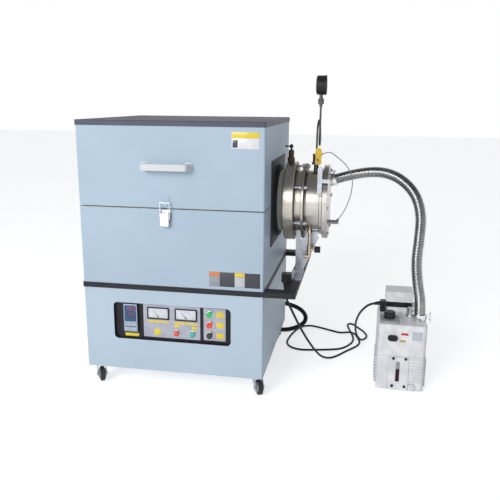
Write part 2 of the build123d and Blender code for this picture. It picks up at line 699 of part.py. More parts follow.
# ---------------------------------------------------------------- support post of the neck
post_t = 3
post_y = -45
post_left = 372
post_back = post_y + post_t / 2
foot_top = band_z + 4
slant_x = shelf_x - 8
slant_z = foot_top - 2
neck_low = axis_z - math.sqrt(sleeve_r ** 2 - post_y ** 2)
ring_low = axis_z - math.sqrt(ring_r ** 2 - post_y ** 2)
post_outline = make_face(Polyline(
    (post_left, band_z + 1), (post_left, neck_low + 8), (ring_x - 2, neck_low + 8), (ring_x - 2, ring_low - 4),
    (neck_x - 3, ring_low - 4), (neck_x - 3, neck_low + 8), (neck_end_x - rim_w - 4, neck_low + 8),
    (neck_end_x - rim_w - 4, 488), (slant_x, slant_z), (slant_x, band_z + 1), close=True,
))
post_plane = Plane(origin=(0, post_back, 0), x_dir=(1, 0, 0), z_dir=(0, -1, 0))
post = post_plane * extrude(post_outline, post_t)
post += block(post_left, post_left + post_t, post_back - post_t, post_back + 18, band_z + 1, neck_low - 30)
slant = Vector(neck_end_x - rim_w - 4 - slant_x, 0, 488 - slant_z)
slant_len = slant.length
slant_dir = slant.normalized()
slant_plane = Plane(origin=(slant_x, post_back - post_t, slant_z), x_dir=slant_dir, z_dir=(0, 1, 0))
strip = make_face(Polyline((0, 0), (slant_len, 0), (slant_len, post_t), (0, post_t), close=True))
strip_solid = slant_plane * extrude(strip, 22)
perforation_pitch = 20
hole_axis = slant_dir.cross(Vector(0, 1, 0))
for index in range(5):
    at = Vector(slant_x, post_back + 10, slant_z) + slant_dir * (18 + index * perforation_pitch)
    strip_solid -= rod(at - hole_axis * 10, hole_axis, 4, 20)
post += strip_solid
rail_left = shelf_x - rail_w
post += soften(block(rail_left, shelf_x, -143, -20, band_z, foot_top), Axis.Z, 4)
saddle = rod((neck_x + 2, 0, axis_z), (1, 0, 0), sleeve_r + post_t, neck_end_x - rim_w - 2 - neck_x - 2)
saddle &= block(neck_x, neck_end_x, -62, -18, neck_low - 40, neck_low + 30)
post += saddle
post -= rod((neck_origin - 5, 0, axis_z), (1, 0, 0), sleeve_r, 100)
for screw_y in (-130, -105, -80, -32):
    post += hexagon((rail_left + 20, screw_y, foot_top), (0, 0, 1), 10, 5)
for bolt_x, bolt_z in ((384, 470), (392, 440), (381, 408), (394, 384)):
    post += hexagon((bolt_x, post_back - post_t, bolt_z), (0, -1, 0), 10, 5)
parts["support_post"] = post

# ---------------------------------------------------------------- lead outlet and pump connector
def lead_boot(start, end):
    """A tapered strain relief from a housing to the start of the lead."""
    run = Vector(*end) - Vector(*start)
    profile = [(-2, 0), (-2, lead_r + 3.5), (2, lead_r + 3.5), (run.length, lead_r + 1), (run.length, 0)]
    return turned(start, run, profile)


outlet_y = -160
outlet_x0 = rail_left - 20
outlet_x1 = rail_left + 12
outlet_z1 = 390
outlet_exit = (350, -155, band_z)
lead_end = (352, -153.5, 331)
outlet = soften(
    block(outlet_x0, outlet_x1, outlet_y - 15, outlet_y + 15, band_z, outlet_z1), Axis.Z, 3
)
outlet += lead_boot(outlet_exit, lead_end)
connector_x0 = 669
connector_x1 = 688
connector_y = -20
connector_exit = (connector_x0, connector_y, 261)
lead_start = (650.4, -14.4, 256)
connector = soften(
    block(connector_x0, connector_x1, connector_y - 13, connector_y + 13, pump_case_h, 272), Axis.Y, 3
)
connector += lead_boot(connector_exit, lead_start)
parts["lead_connectors"] = group(outlet, connector)

# ---------------------------------------------------------------- control panel
tray_floor = 2
tray_wall = 4
panel_floor = front + panel_recess
panel_sheet = 1.5
panel_face = panel_floor - panel_sheet
into = (0, 1, 0)
outward = (0, -1, 0)


def panel_slab(x, z, width, height, radius, y, depth):
    """A rounded slab parallel to the front face that starts at y and grows towards the front."""
    return rounded_plate((x, y, z), (1, 0, 0), outward, width, height, radius, depth)


tray = panel_slab(
    panel_x, panel_z, panel_w + 2 * tray_wall, panel_h + 2 * tray_wall, panel_r + tray_wall,
    panel_floor + tray_floor, tray_floor + panel_recess - sheet,
)
tray -= panel_slab(panel_x, panel_z, panel_w, panel_h, panel_r, panel_floor, 2 * panel_recess)
silver_x, silver_z, silver_w, silver_h = -4.75, 237.5, 192.5, 115
buttons_x, buttons_z, buttons_w, buttons_h = 139.5, 237, 73, 110
silver_plates = [
    panel_slab(silver_x, silver_z, silver_w, silver_h, 2, panel_floor, panel_sheet),
    panel_slab(buttons_x, buttons_z, buttons_w, buttons_h, 2, panel_floor, panel_sheet),
]
controller_x, controller_z, controller_w, controller_h = -143, 244, 48, 96
meter_w, meter_h, meter_z = 75, 41, 263.5
meter_xs = {"voltmeter": -50, "ammeter": 44.25}
meter_depth = 4
case_depth = 60
lamp_z = 198.75
lamp_xs = (11.8, 66.2)
lamp_r = 7
button_r = 10.95
button_bore_r = 11
barrel_r = 12
button_x = 124.3
button_zs = {"green": 271.7, "red": 236.3, "black": 200.5}

openings = [panel_slab(controller_x, controller_z, controller_w - 3, controller_h - 5, 1, front + 40, 60)]
for meter_x in meter_xs.values():
    openings.append(panel_slab(meter_x, meter_z, meter_w - 13, meter_h - 7, 1, front + 40, 60))
for button_z in button_zs.values():
    openings.append(rod((button_x, front, button_z), into, barrel_r + 0.2, 40))
for lamp_x in lamp_xs:
    openings.append(rod((lamp_x, front, lamp_z), into, 5.2, 40))
for opening in openings:
    tray -= opening
    silver_plates = [plate - opening for plate in silver_plates]
parts["control_panel"] = group(tray, *silver_plates)


def controller():
    """The temperature controller with its bezel, display window and row of keys."""
    bezel = panel_slab(controller_x, controller_z, controller_w, controller_h, 3, panel_floor, panel_recess - 2)
    bezel = chamfer(bezel.faces().sort_by(Axis.Y)[0].edges(), 1)
    face_y = panel_floor - panel_recess + 2
    bezel -= panel_slab(controller_x, controller_z + 16, 38, 50, 2, face_y + 1.5, 3)
    for index in range(4):
        key_x = controller_x + (index - 1.5) * 9.5
        bezel += panel_slab(key_x, controller_z - 28, 7, 6, 1, face_y + 0.5, 1.6)
    rear = panel_slab(controller_x, controller_z, controller_w - 4, controller_h - 6, 1, front + 95, 95 - 13)
    return bezel + rear


needle_plane_y = panel_face - meter_depth + 0.9
meter_recess = 2.5
meter_pivot_z = meter_z - 11


def meter_case(x):
    """A panel meter: bezel, sunken dial, needle post and the case behind the panel."""
    case = panel_slab(x, meter_z, meter_w, meter_h, 2.5, panel_face, meter_depth)
    case = chamfer(case.faces().sort_by(Axis.Y)[0].edges(), 0.8)
    face_y = panel_face - meter_depth
    case -= panel_slab(x, meter_z + 1, meter_w - 8, meter_h - 8, 1.5, face_y + meter_recess, 5)
    case += panel_slab(x, meter_z, meter_w - 15, meter_h - 9, 1, panel_face + case_depth, case_depth + 1)
    return case + rod((x, face_y + meter_recess + 0.5, meter_pivot_z), outward, 1.2, 2.6)


def meter_needle(x):
    """A thin needle on the meter's post, standing upright at mid-scale."""
    blade = block(x - 0.6, x + 0.6, needle_plane_y, needle_plane_y + 0.8, meter_pivot_z - 3.5, meter_pivot_z + 24)
    blade += rod((x, needle_plane_y, meter_pivot_z), into, 3, 0.8)
    return blade - rod((x, needle_plane_y - 1, meter_pivot_z), into, 1.2 + running, 4)


meter_rest = 38
parts["panel_instruments"] = group(controller(), *[meter_case(x) for x in meter_xs.values()])
for name, meter_x in meter_xs.items():
    pivot = Axis((meter_x, 0, meter_pivot_z), (0, -1, 0))
    parts[f"{name}_needle"] = meter_needle(meter_x).rotate(pivot, meter_rest)


def button_bezel(z):
    """A flanged barrel through the panel."""
    bezel = rod((button_x, panel_face - 4, z), into, 14, 4)
    bezel = chamfer(bezel.faces().sort_by(Axis.Y)[0].edges(), 1)
    bezel += rod((button_x, panel_face - 1, z), into, barrel_r, 17)
    return bezel - rod((button_x, front - 10, z), into, button_bore_r, 60)


def push_button(z):
    """A button that slides in the barrel."""
    cap = rod((button_x, panel_face - 9, z), into, button_r, 22)
    return chamfer(cap.faces().sort_by(Axis.Y)[0].edges(), 1.2)


def pilot_lamp(x):
    """A lamp with a ring, a domed lens and a stem through the panel."""
    ring = rod((x, panel_face - 3, lamp_z), into, lamp_r + 2, 3)
    lens = Pos(x, panel_face - 2, lamp_z) * Sphere(lamp_r) - block(x - 20, x + 20, panel_face - 1, front + 60, 0, 400)
    return ring + lens + rod((x, panel_face - 1, lamp_z), into, 5, 16)


bezels = [button_bezel(z) for z in button_zs.values()]
lamps = [pilot_lamp(x) for x in lamp_xs]
parts["button_bezels"] = group(*bezels, *lamps)
for name, button_z in button_zs.items():
    parts[f"{name}_button"] = push_button(button_z)

# ---------------------------------------------------------------- cable gland in the rear cover
cover_face = back + rear_cover_t
gland_end = cover_face + 22
gland = rod((gland_x, back - 14, gland_z), into, gland_hole_r - 0.3, 20)
gland += hexagon((gland_x, cover_face, gland_z), into, 34, 8)
gland += rod((gland_x, cover_face + 8, gland_z), into, 14.5, 14)
gland = chamfer(gland.faces().sort_by(Axis.Y)[-1].edges(), 2)
gland += hexagon((gland_x, back - sheet, gland_z), outward, 34, 6)
parts["mains_gland"] = gland

# ---------------------------------------------------------------- vacuum pump
pump_left = pump_x - pump_w / 2
pump_right = pump_x + pump_w / 2
case_wall = 8
oil_case = block(pump_left, pump_right, pump_front, pump_rear, pump_foot, pump_case_h)
oil_case = soften(oil_case, Axis.Z, 14)
oil_case = fillet(oil_case.faces().sort_by(Axis.Z)[-1].edges(), 5)
recess_z = pump_case_h - 3
oil_case -= block(pump_x - 2, pump_right - 4, pump_front + 12, pump_rear - 8, recess_z, pump_case_h + 1)
fin_count = 9
for side in (-1, 1):
    for index in range(fin_count):
        fin_z = 16 + index * 11
        edge = pump_x + side * pump_w / 2
        oil_case += soften(
            block(edge - 6, edge + 6, pump_front + 22, pump_rear - 6, fin_z, fin_z + 4), Axis.Z, 3
        )
drain_plug_x, drain_plug_z = 781, 18
oil_case += rod((drain_plug_x, pump_front, drain_plug_z), outward, 12, 4)
oil_case += hexagon((drain_plug_x, pump_front - 4, drain_plug_z), outward, 14, 6)
emboss = rounded_plate((789, pump_front, 200), (1, 0, 0), outward, 38, 36, 5, 1.5)
filler = panel_slab(710.6, 189, 32, 20, 9.5, pump_front, 6)
parts["pump_oil_case"] = oil_case + emboss + filler

housing_rear = 120
motor_start = housing_rear
housing = soften(
    block(pump_left + 6, pump_right - 6, pump_rear, housing_rear, 22, pump_case_h - 8), Axis.Y, 18
)
for index in range(6):
    rib_y = pump_rear + 18 + index * 18
    housing += soften(
        block(pump_left + 1, pump_right - 1, rib_y, rib_y + 5, 28, pump_case_h - 14), Axis.Y, 16
    )
motor = rod((pump_x, motor_start, pump_axis_z), into, motor_r - 5, motor_len - 26)
fan_cowl = rod((pump_x, motor_start + motor_len - 34, pump_axis_z), into, motor_r, 34)
fan_cowl = fillet(fan_cowl.faces().sort_by(Axis.Y)[-1].edges(), 6)
motor += fan_cowl
motor += rod((pump_x, motor_start, pump_axis_z), into, motor_r, 12)
motor_fins = 24
for index in range(motor_fins):
    fin = block(pump_x - 1, pump_x + 1, motor_start + 6, motor_start + motor_len - 30, 0, motor_r - 1.5)
    fin = Pos(0, 0, pump_axis_z) * fin
    motor += fin.rotate(Axis((pump_x, 0, pump_axis_z), (0, 1, 0)), 360 * index / motor_fins)
slots = []
for index in range(12):
    slot = block(pump_x - 2, pump_x + 2, motor_start + motor_len - 4, motor_start + motor_len + 1, 26, 52)
    slot = Pos(0, 0, pump_axis_z) * slot
    slots.append(slot.rotate(Axis((pump_x, 0, pump_axis_z), (0, 1, 0)), 360 * index / 12))
for slot in slots:
    motor -= slot
feet = []
for foot_y in (pump_rear + 10, housing_rear - 30):
    for side in (-1, 1):
        foot_x = pump_x + side * 52
        feet.append(rod((foot_x, foot_y + 10, 0), (0, 0, 1), 15, 24))
case_feet = []
for side in (-1, 1):
    for foot_y in (pump_front + 28, pump_rear - 26):
        case_feet.append(rod((pump_x + side * 54, foot_y, 0), (0, 0, 1), 14, pump_foot))
pump_body = housing + motor
for foot in feet:
    pump_body += foot
parts["pump_body"] = group(pump_body, *case_feet)

# oil window on the pump's front
window_x, window_w, window_h = 735, 66, 116
window_t = 3.5
window_z = window_h / 2 + pump_foot + 2
window = panel_slab(window_x, window_z, window_w, window_h, 6, pump_front, window_t)
window -= panel_slab(733, 72, 15, 72, 7, pump_front - 1.5, 6)
for screw_x in (717, 757):
    for screw_z in (21, 119):
        window += rod((screw_x, pump_front - window_t, screw_z), outward, 4.5, 3)
parts["pump_sight_window"] = window

# terminal box on top of the housing
terminal_y0 = pump_rear
terminal_y1 = 62
terminal_base = soften(block(690, 778, terminal_y0 + 1, terminal_y1 - 2, pump_case_h - 8, 268), Axis.Z, 3)
terminal_cover = soften(block(688, 780, terminal_y0 - 1, terminal_y1, 268, 303.6), Axis.Z, 4)
terminal_cover = fillet(terminal_cover.faces().sort_by(Axis.Z)[-1].edges(), 3)
parts["pump_terminal_box"] = group(terminal_base, terminal_cover)

# ports, gas ballast knob and exhaust filter on top of the oil case
inlet_x, inlet_y = 797, -95
inlet_top = 250
ballast_x, ballast_y = 698.5, -115
ballast_plate = soften(block(669, 728, -150, -82, pump_case_h, 242), Axis.Z, 6)
ballast_plate += rod((ballast_x, ballast_y, 242), (0, 0, 1), 5, 20)
inlet = rod((inlet_x, inlet_y, recess_z), (0, 0, 1), 17, inlet_top - recess_z)
inlet += rod((inlet_x, inlet_y, inlet_top - 3), (0, 0, 1), 20, 3)
exhaust = rod((772, -52, recess_z), (0, 0, 1), 15, 26)
exhaust += rod((772, -52, recess_z), (0, 0, 1), 17, 5)
exhaust += hexagon((772, -52, recess_z + 26), (0, 0, 1), 22, 4)
parts["pump_ports"] = group(ballast_plate, inlet, exhaust)
ballast_gap = 0.4
ballast = rod((ballast_x, ballast_y, 242 + ballast_gap), (0, 0, 1), 18.5, 23)
ballast = chamfer(ballast.faces().sort_by(Axis.Z)[-1].edges(), 2)
for index in range(12):
    groove_angle = math.radians(30 * index)
    groove_x = ballast_x + 19.6 * math.cos(groove_angle)
    groove_y = ballast_y + 19.6 * math.sin(groove_angle)
    ballast -= rod((groove_x, groove_y, 241), (0, 0, 1), 2.6, 30)
ballast -= rod((ballast_x, ballast_y, 240), (0, 0, 1), 5 + running, 22.5)
parts["ballast_knob"] = ballast

# ---------------------------------------------------------------- bellows hose with its two clamps
cuff_end = Vector(*cuff_start) + Vector(*cuff_dir) * cuff_len
hose_start = (round(cuff_end.X, 3), round(cuff_end.Y, 3), round(cuff_end.Z, 3))
hose_route = [
    hose_start, (584, 60, 707.74), (685, 34, 709), (758.5, 0, 657), (786, -25, 585), (783, -48, 505),
    (776, -69, 425), (785, -86, 352), (inlet_x, inlet_y, 298), (inlet_x, inlet_y, inlet_top),
]
parts["vacuum_hose"] = cord_tube(hose_route, hose_r, "vacuum hose")
clamp_w = 12
upper_clamp = rod(cuff_end - Vector(*cuff_dir) * 8, cuff_dir, 23, clamp_w)
upper_clamp += block(cuff_end.X - 9, cuff_end.X + 3, 52, 68, cuff_end.Z + 18, cuff_end.Z + 32)
lower_clamp = rod((inlet_x, inlet_y, inlet_top - 9), (0, 0, 1), 24, 15)
lower_clamp += block(inlet_x + 18, inlet_x + 34, inlet_y - 7, inlet_y + 7, inlet_top - 7, inlet_top + 4)
for side in (-1, 1):
    lower_clamp += block(
        inlet_x + 34, inlet_x + 37, inlet_y + side * 9 - 5, inlet_y + side * 9 + 5, inlet_top - 18, inlet_top + 12
    )
lower_clamp += rod((inlet_x + 30, inlet_y - 12, inlet_top - 2), (0, 1, 0), 4, 24)
upper_clamp -= parts["end_flange"] + parts["vacuum_hose"]
lower_clamp -= inlet + parts["vacuum_hose"]
parts["hose_clamps"] = group(upper_clamp, lower_clamp)

# ---------------------------------------------------------------- pump lead
lead_route = [
    lead_start, (634.6, -9.6, 251.7), (615, 13, 227), (600, 50, 193), (591, 100, 151),
    (588, 150, 108), (591, 198, 64), (599, 234, 32), (615, 266, 4), (635, 299, 4), (637, 330, 4), (624, 370, 4),
    (606, 402, 4), (592, 426, 4), (582, 447, 4), (566, 456, 4), (555, 443, 4), (557, 418, 4), (567, 368, 4),
    (579, 318, 4), (584, 268, 4), (576, 226, 4), (553, 182, 4), (527, 157, 4), (484, 144, 4), (434, 132, 4),
    (384, 122, 4), (342, 140, 4), (320, 183, 4), (325, 250, 4), (340, 322, 4), (362, 380, 4), (399, 399, 4),
    (440, 382, 4), (488, 356, 4), (530, 334, 4), (564, 322, 16), (590, 305, 16), (604, 276, 4), (610, 242, 4),
    (600, 205, 4), (578, 172, 4), (551, 133, 4), (527, 92, 4), (498, 62, 4), (470, 24, 24), (446, -15, 66),
    (421, -53, 120), (400, -86, 172), (382, -114, 222), (365, -138, 270), (354, -152, 301), lead_end,
]
parts["pump_lead"] = cord_tube(lead_route, lead_r, "pump lead")

# ---------------------------------------------------------------- mains cable, its coil and plug
coil_x, coil_y = 125, 430
coil_r = 100
coil_wraps = 2           # turns side by side, and layers of them
coil_in = coil_r - coil_wraps * mains_r
coil_out = coil_r + coil_wraps * mains_r
entry_y = coil_y - coil_r - mains_r
mains_route = [
    (gland_x, gland_end, gland_z), (232, 346, 108), (241, 375, 107), (264, 396, 102), (294, 404, 94),
    (325, 401, 87), (353, 391, 78), (373, 375, 66), (382, 355, 53), (378, 337, 40), (361, 324, 28),
    (335, 317, 17), (304, 314, 9), (270, 311, 9), (236, 313, 9), (202, 318, 9), (coil_x + 44, entry_y - 1, 9),
]
coil_exit = (coil_x - 4, entry_y, 3 * mains_r)
plug_x, plug_y, plug_z = 58, 316, 27
exit_route = [coil_exit, (101, 319, 27), (80, plug_y, plug_z), (plug_x, plug_y, plug_z)]
mains_tube = cord_tube(mains_route, mains_r, "mains cable")
exit_tube = cord_tube(exit_route, mains_r, "mains cable to the plug")
parts["mains_cable"] = group(mains_tube, exit_tube)
layers_h = 2 * coil_wraps * mains_r
coil = rod((coil_x, coil_y, 0), (0, 0, 1), coil_out, layers_h) - rod((coil_x, coil_y, -1), (0, 0, 1), coil_in, 90)
parts["mains_coil"] = fillet(coil.edges(), mains_r - 1)
turns_len = 2 * math.pi * coil_wraps * coil_wraps * coil_r
print(f"turns in the coil: {turns_len:.0f}")

plug_dir = (-1, 0, 0)
plug = rod((plug_x, plug_y, plug_z), plug_dir, 13, 20)
plug += hexagon((plug_x - 4, plug_y, plug_z), plug_dir, 27, 9)
plug += rod((plug_x - 16, plug_y, plug_z), plug_dir, 22, 54)
plug = fillet(plug.faces().sort_by(Axis.X)[0].edges(), 2)
plug += rod((plug_x - 60, plug_y, plug_z), plug_dir, plug_z, 10)
plug += rod((plug_x - 68, plug_y, plug_z), plug_dir, 24, 34)
plug -= rod((plug_x - 76, plug_y, plug_z), plug_dir, 21, 60)
for index in range(3):
    pin_angle = math.radians(90 + 120 * index)
    pin_y = plug_y + 11 * math.cos(pin_angle)
    pin_z = plug_z + 11 * math.sin(pin_angle)
    plug += rod((plug_x - 74, pin_y, pin_z), plug_dir, 3, 24)
parts["mains_plug"] = plug

# ---------------------------------------------------------------- files
os.makedirs("parts", exist_ok=True)
for name, shape in parts.items():
    export_step(shape, f"parts/{name}.step")
print(len(parts), "nodes")
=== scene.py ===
# %% [markdown]
# # A lift-lid tube furnace with its vacuum pump
#
# A pale blue cabinet on four casters lifts its upper half on rear hinges and opens round a ceramic work
# tube, which ends at the right in a steel flange. A ribbed hose joins it to a white rotary vane pump.
#
# The solid parts come from a CAD model, in metres, and this lesson dresses them: it gives each part its
# finish and adds the small pieces that a solid model leaves out. The first cell loads the model.

# %% Load the solid model
import json
import math

import bmesh
import bpy
from mathutils import Matrix, Vector


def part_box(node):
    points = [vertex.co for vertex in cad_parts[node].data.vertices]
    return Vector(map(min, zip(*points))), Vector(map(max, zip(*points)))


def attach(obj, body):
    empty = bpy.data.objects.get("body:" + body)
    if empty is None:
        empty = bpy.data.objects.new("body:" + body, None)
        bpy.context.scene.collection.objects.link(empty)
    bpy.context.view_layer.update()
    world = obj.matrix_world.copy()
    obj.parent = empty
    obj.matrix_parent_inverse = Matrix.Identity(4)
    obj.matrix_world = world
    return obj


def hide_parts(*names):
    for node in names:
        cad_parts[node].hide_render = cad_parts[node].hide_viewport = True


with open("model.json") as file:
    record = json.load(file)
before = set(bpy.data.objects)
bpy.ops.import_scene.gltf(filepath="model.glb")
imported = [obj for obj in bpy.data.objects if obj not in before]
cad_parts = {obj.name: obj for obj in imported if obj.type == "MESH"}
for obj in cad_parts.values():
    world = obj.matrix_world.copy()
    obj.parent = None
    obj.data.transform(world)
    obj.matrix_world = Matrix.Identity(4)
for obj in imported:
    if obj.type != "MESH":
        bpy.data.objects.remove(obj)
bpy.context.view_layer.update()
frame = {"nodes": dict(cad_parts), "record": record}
nodes = frame["nodes"]


# %% [markdown]
# The drawings of such a machine are in millimetres, and Blender works in metres. One short helper turns a
# place from a drawing into a Blender place.

# %% Millimetres to metres
def mm(*place):
    """A place or a size in millimetres as a vector in metres."""
    return Vector(place) / 1000


def show(name, data):
    """A new object in the scene."""
    item = bpy.data.objects.new(name, data)
    bpy.context.scene.collection.objects.link(item)
    return item


print("the cabinet is", mm(600, 0, 0).x, "metres wide")

# %% [markdown]
# ## The camera
#
# The camera stands in front and to the right of the cabinet, a little above its roof, and looks slightly
# down. Its matrix has the directions of the picture's right, its top and the camera's back as columns.

# %% Camera
camera_place = mm(584.7, -2121.8, 943.3)
turn_left, look_down, lean = math.radians(10.20), math.radians(13.58), math.radians(0.447)
look = Vector((
    -math.sin(turn_left) * math.cos(look_down),
    math.cos(turn_left) * math.cos(look_down),
    -math.sin(look_down),
))
level = Vector((math.cos(turn_left), math.sin(turn_left), 0))
above = level.cross(look)
picture_right = math.cos(lean) * level + math.sin(lean) * above
picture_up = -math.sin(lean) * level + math.cos(lean) * above

camera_data = bpy.data.cameras.new("camera")
camera_data.sensor_fit = "HORIZONTAL"
camera_data.sensor_width = 36
camera_data.lens = 44.51
camera_data.clip_start = 0.05
camera_data.clip_end = 100
camera = show("camera", camera_data)
turned_view = Matrix((picture_right, picture_up, -look)).transposed()
camera.matrix_world = Matrix.Translation(camera_place) @ turned_view.to_4x4()
bpy.context.scene.camera = camera
print("camera at", camera.location)


# %% [markdown]
# ## The cords
#
# A lead, a cable and a hose are all one smooth line with a thickness. The line is a NURBS curve that passes
# close by its control points without any corner. The order of the spline is set after its points exist,
# because a shorter spline can't hold it.

# %% A cord's line
def cord_line(name, places, radius=0.0):
    """A curve of one open NURBS spline with its control points in millimetres. The radius of its points is
    the cord's, and the bevel is 1, so that the curve's box fits the cord."""
    curve = bpy.data.curves.new(name, "CURVE")
    curve.dimensions = "3D"
    spline = curve.splines.new("NURBS")
    spline.points.add(len(places) - 1)
    for point, place in zip(spline.points, places):
        point.co = (*mm(*place), 1)
        point.radius = radius or 1
    spline.order_u = 3
    spline.use_endpoint_u = True
    curve.resolution_u = 10
    curve.bevel_depth = 1.0 if radius else 0.0
    curve.bevel_resolution = 5
    curve.use_fill_caps = True
    return show(name, curve)


# %% [markdown]
# The pump's lead is 8 mm thick and leaves the black connector under the pump's terminal box. It makes a loose
# fold on the floor, crosses itself in a low hump and climbs to the outlet box under the right shelf. It is
# seen from end to end, so its length is the one that shows, 2.3 m.

# %% Pump lead
lead_places = [
    (650.4, -14.4, 256), (634.6, -9.6, 251.7), (615, 13, 227), (600, 50, 193), (591, 100, 151),
    (588, 150, 108), (591, 198, 64), (599, 234, 32), (615, 266, 4), (635, 299, 4), (637, 330, 4), (624, 370, 4),
    (606, 402, 4), (592, 426, 4), (582, 447, 4), (566, 456, 4), (555, 443, 4), (557, 418, 4), (567, 368, 4),
    (579, 318, 4), (584, 268, 4), (576, 226, 4), (553, 182, 4), (527, 157, 4), (484, 144, 4), (434, 132, 4),
    (384, 122, 4), (342, 140, 4), (320, 183, 4), (325, 250, 4), (340, 322, 4), (362, 380, 4), (399, 399, 4),
    (440, 382, 4), (488, 356, 4), (530, 334, 4), (564, 322, 16), (590, 305, 16), (604, 276, 4), (610, 242, 4),
    (600, 205, 4), (578, 172, 4), (551, 133, 4), (527, 92, 4), (498, 62, 4), (470, 24, 24), (446, -15, 66),
    (421, -53, 120), (400, -86, 172), (382, -114, 222), (365, -138, 270), (354, -152, 301), (352, -153.5, 331),
]
pump_lead = cord_line("pump_power_lead", lead_places, 0.004)
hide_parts("pump_lead")
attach(pump_lead, "cabinet")
print("pump lead:", len(lead_places), "points")

# %% [markdown]
# The mains cable is 18 mm thick and leaves the gland in the rear cover. Most of it is wound behind the
# cabinet into a coil of two layers with two turns in each. Where a turn moves inwards, upwards or outwards,
# it does so a little before the turn under it, so that the cable always passes beside or over itself.

# %% Mains cable and its coil
mains_r = 9
coil_x, coil_y, coil_r = 125, 430, 100


def eased(turn, start, width=0.25):
    """How far a change that starts at that turn has gone, from 0 to 1, with a soft start and end."""
    share = min(1, max(0, (turn - start) / width))
    return share * share * (3 - 2 * share)


mains_places = [
    (232, 318.5, 108), (232, 346, 108), (241, 375, 107), (264, 396, 102), (294, 404, 94),
    (325, 401, 87), (353, 391, 78), (373, 375, 66), (382, 355, 53), (378, 337, 40), (361, 324, 28),
    (335, 317, 17), (304, 314, 9), (270, 311, 9), (236, 313, 9), (202, 317, 9), (169, 320, 9), (145, 321, 9),
]
steps = 16
for step in range(4 * steps + 1):
    turn = step / steps
    inward = eased(turn, 0.75) - eased(turn, 2.6)
    upward = eased(turn, 1.675) + eased(turn, 3.525)
    radius = coil_r + mains_r - 2 * mains_r * inward + 0.9
    angle = math.radians(-90 - 360 * turn)
    height = mains_r + 2 * mains_r * upward
    mains_places.append((coil_x + radius * math.cos(angle), coil_y + radius * math.sin(angle), height))
mains_places += [(104, 318, 45), (88, 315, 40), (74, 315.5, 29.5), (66, 316, 27), (58, 316, 27)]

mains_cable = cord_line("mains_power_cable", mains_places, 0.009)
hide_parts("mains_cable", "mains_coil")
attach(mains_cable, "cabinet")
print("mains cable:", len(mains_places), "points")


# %% [markdown]
# The hose is a stainless steel bellows: a thin tube that is pressed into small ribs so that it bends. One rib
# is modelled, repeated in a straight line by an Array modifier and laid along the curve by a Curve modifier.

# %% Line of the hose
hose_places = [
    (493.02, 60, 678.18), (584, 60, 707.74), (685, 34, 709), (758.5, 0, 657), (786, -25, 585), (783, -48, 505),
    (776, -69, 425), (785, -86, 352), (797, -95, 298), (797, -95, 250),
]
hose_line = cord_line("hose_line", hose_places)
hose_line.data.resolution_u = 24
line_mesh = bpy.data.meshes.new_from_object(hose_line)
hose_path = [vertex.co.copy() for vertex in line_mesh.vertices]
bpy.data.meshes.remove(line_mesh)
hose_length = sum((b - a).length for a, b in zip(hose_path, hose_path[1:]))
print("hose line:", len(hose_path), "points,", round(hose_length, 3), "m")


# %% [markdown]
# An operator works on everything that is selected, so each piece starts by deselecting all. The faces or
# edges to work on are then picked in code, by their place or their normal.

# %% Helpers for modelling by hand
def fresh():
    """Deselects everything."""
    bpy.ops.object.select_all(action="DESELECT")


def only(piece):
    """Selects just this piece and makes it the active one."""
    fresh()
    piece.select_set(True)
    bpy.context.view_layer.objects.active = piece


def pick(piece, kind, test):
    """In edit mode, selects the faces or edges of the piece for which the test is true."""
    bpy.ops.mesh.select_mode(type=kind[:-1].upper())
    bpy.ops.mesh.select_all(action="DESELECT")
    grid = bmesh.from_edit_mesh(piece.data)
    grid.normal_update()
    for item in getattr(grid, kind):
        if test(item):
            item.select_set(True)
    bmesh.update_edit_mesh(piece.data)


def edit():
    """Enters edit mode with everything selected."""
    bpy.ops.object.mode_set(mode="EDIT")
    bpy.ops.mesh.select_all(action="SELECT")


def leave():
    bpy.ops.object.mode_set(mode="OBJECT")


def apply_place(piece):
    """Moves the piece's place, turn and scale into its mesh, so its object sits at the origin."""
    only(piece)
    bpy.ops.object.transform_apply(location=True, rotation=True, scale=True)


def apply_modifiers(piece):
    """Applies all modifiers of the piece, the first one first."""
    only(piece)
    for modifier in list(piece.modifiers):
        bpy.ops.object.modifier_apply(modifier=modifier.name)


print("helpers ready")

# %% [markdown]
# One rib is 5 mm long. It starts as a ring of 28 points in a valley, which is extruded along X five times and
# widened or narrowed after each step, over the crest and down into the next valley.

# %% One rib of the hose
rib_count = round(hose_length / 0.005)
rib_pitch = hose_length / rib_count
valley_r, crest_r = 0.0162, 0.0184

fresh()
bpy.ops.mesh.primitive_circle_add(vertices=28, radius=valley_r, rotation=(0, math.pi / 2, 0))
hose = bpy.context.object
hose.name = "bellows_hose"
apply_place(hose)
edit()
ring_r, foot_r = valley_r, valley_r + 0.0004
for share, next_r in ((0.28, foot_r), (0.17, crest_r), (0.3, crest_r), (0.17, foot_r), (0.08, valley_r)):
    bpy.ops.mesh.extrude_region_move(TRANSFORM_OT_translate={"value": (share * rib_pitch, 0, 0)})
    bpy.ops.transform.resize(value=(1, next_r / ring_r, next_r / ring_r))
    ring_r = next_r
leave()
print("one rib has", len(hose.data.polygons), "faces, and there are", rib_count)

# %% Ribs along the hose's line
array = hose.modifiers.new("ribs", "ARRAY")
array.count = rib_count
array.use_merge_vertices = True
array.merge_threshold = 0.00005
bend = hose.modifiers.new("along the line", "CURVE")
bend.object = hose_line
apply_modifiers(hose)
bpy.data.objects.remove(hose_line)
only(hose)
bpy.ops.object.shade_smooth_by_angle(angle=math.radians(40))
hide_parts("vacuum_hose")
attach(hose, "cabinet")
print("bellows hose:", len(hose.data.polygons), "faces")

# %% [markdown]
# ## Finishes
#
# A finish is a small tree of shader nodes that works out colour, roughness and bump for every point. Written
# as formulas, such trees stay short. The class below wraps one socket of a node, and its operators add the
# Math nodes: `grain * 0.2 + 0.4` makes a multiply and an add. Colours go through Mix nodes instead.

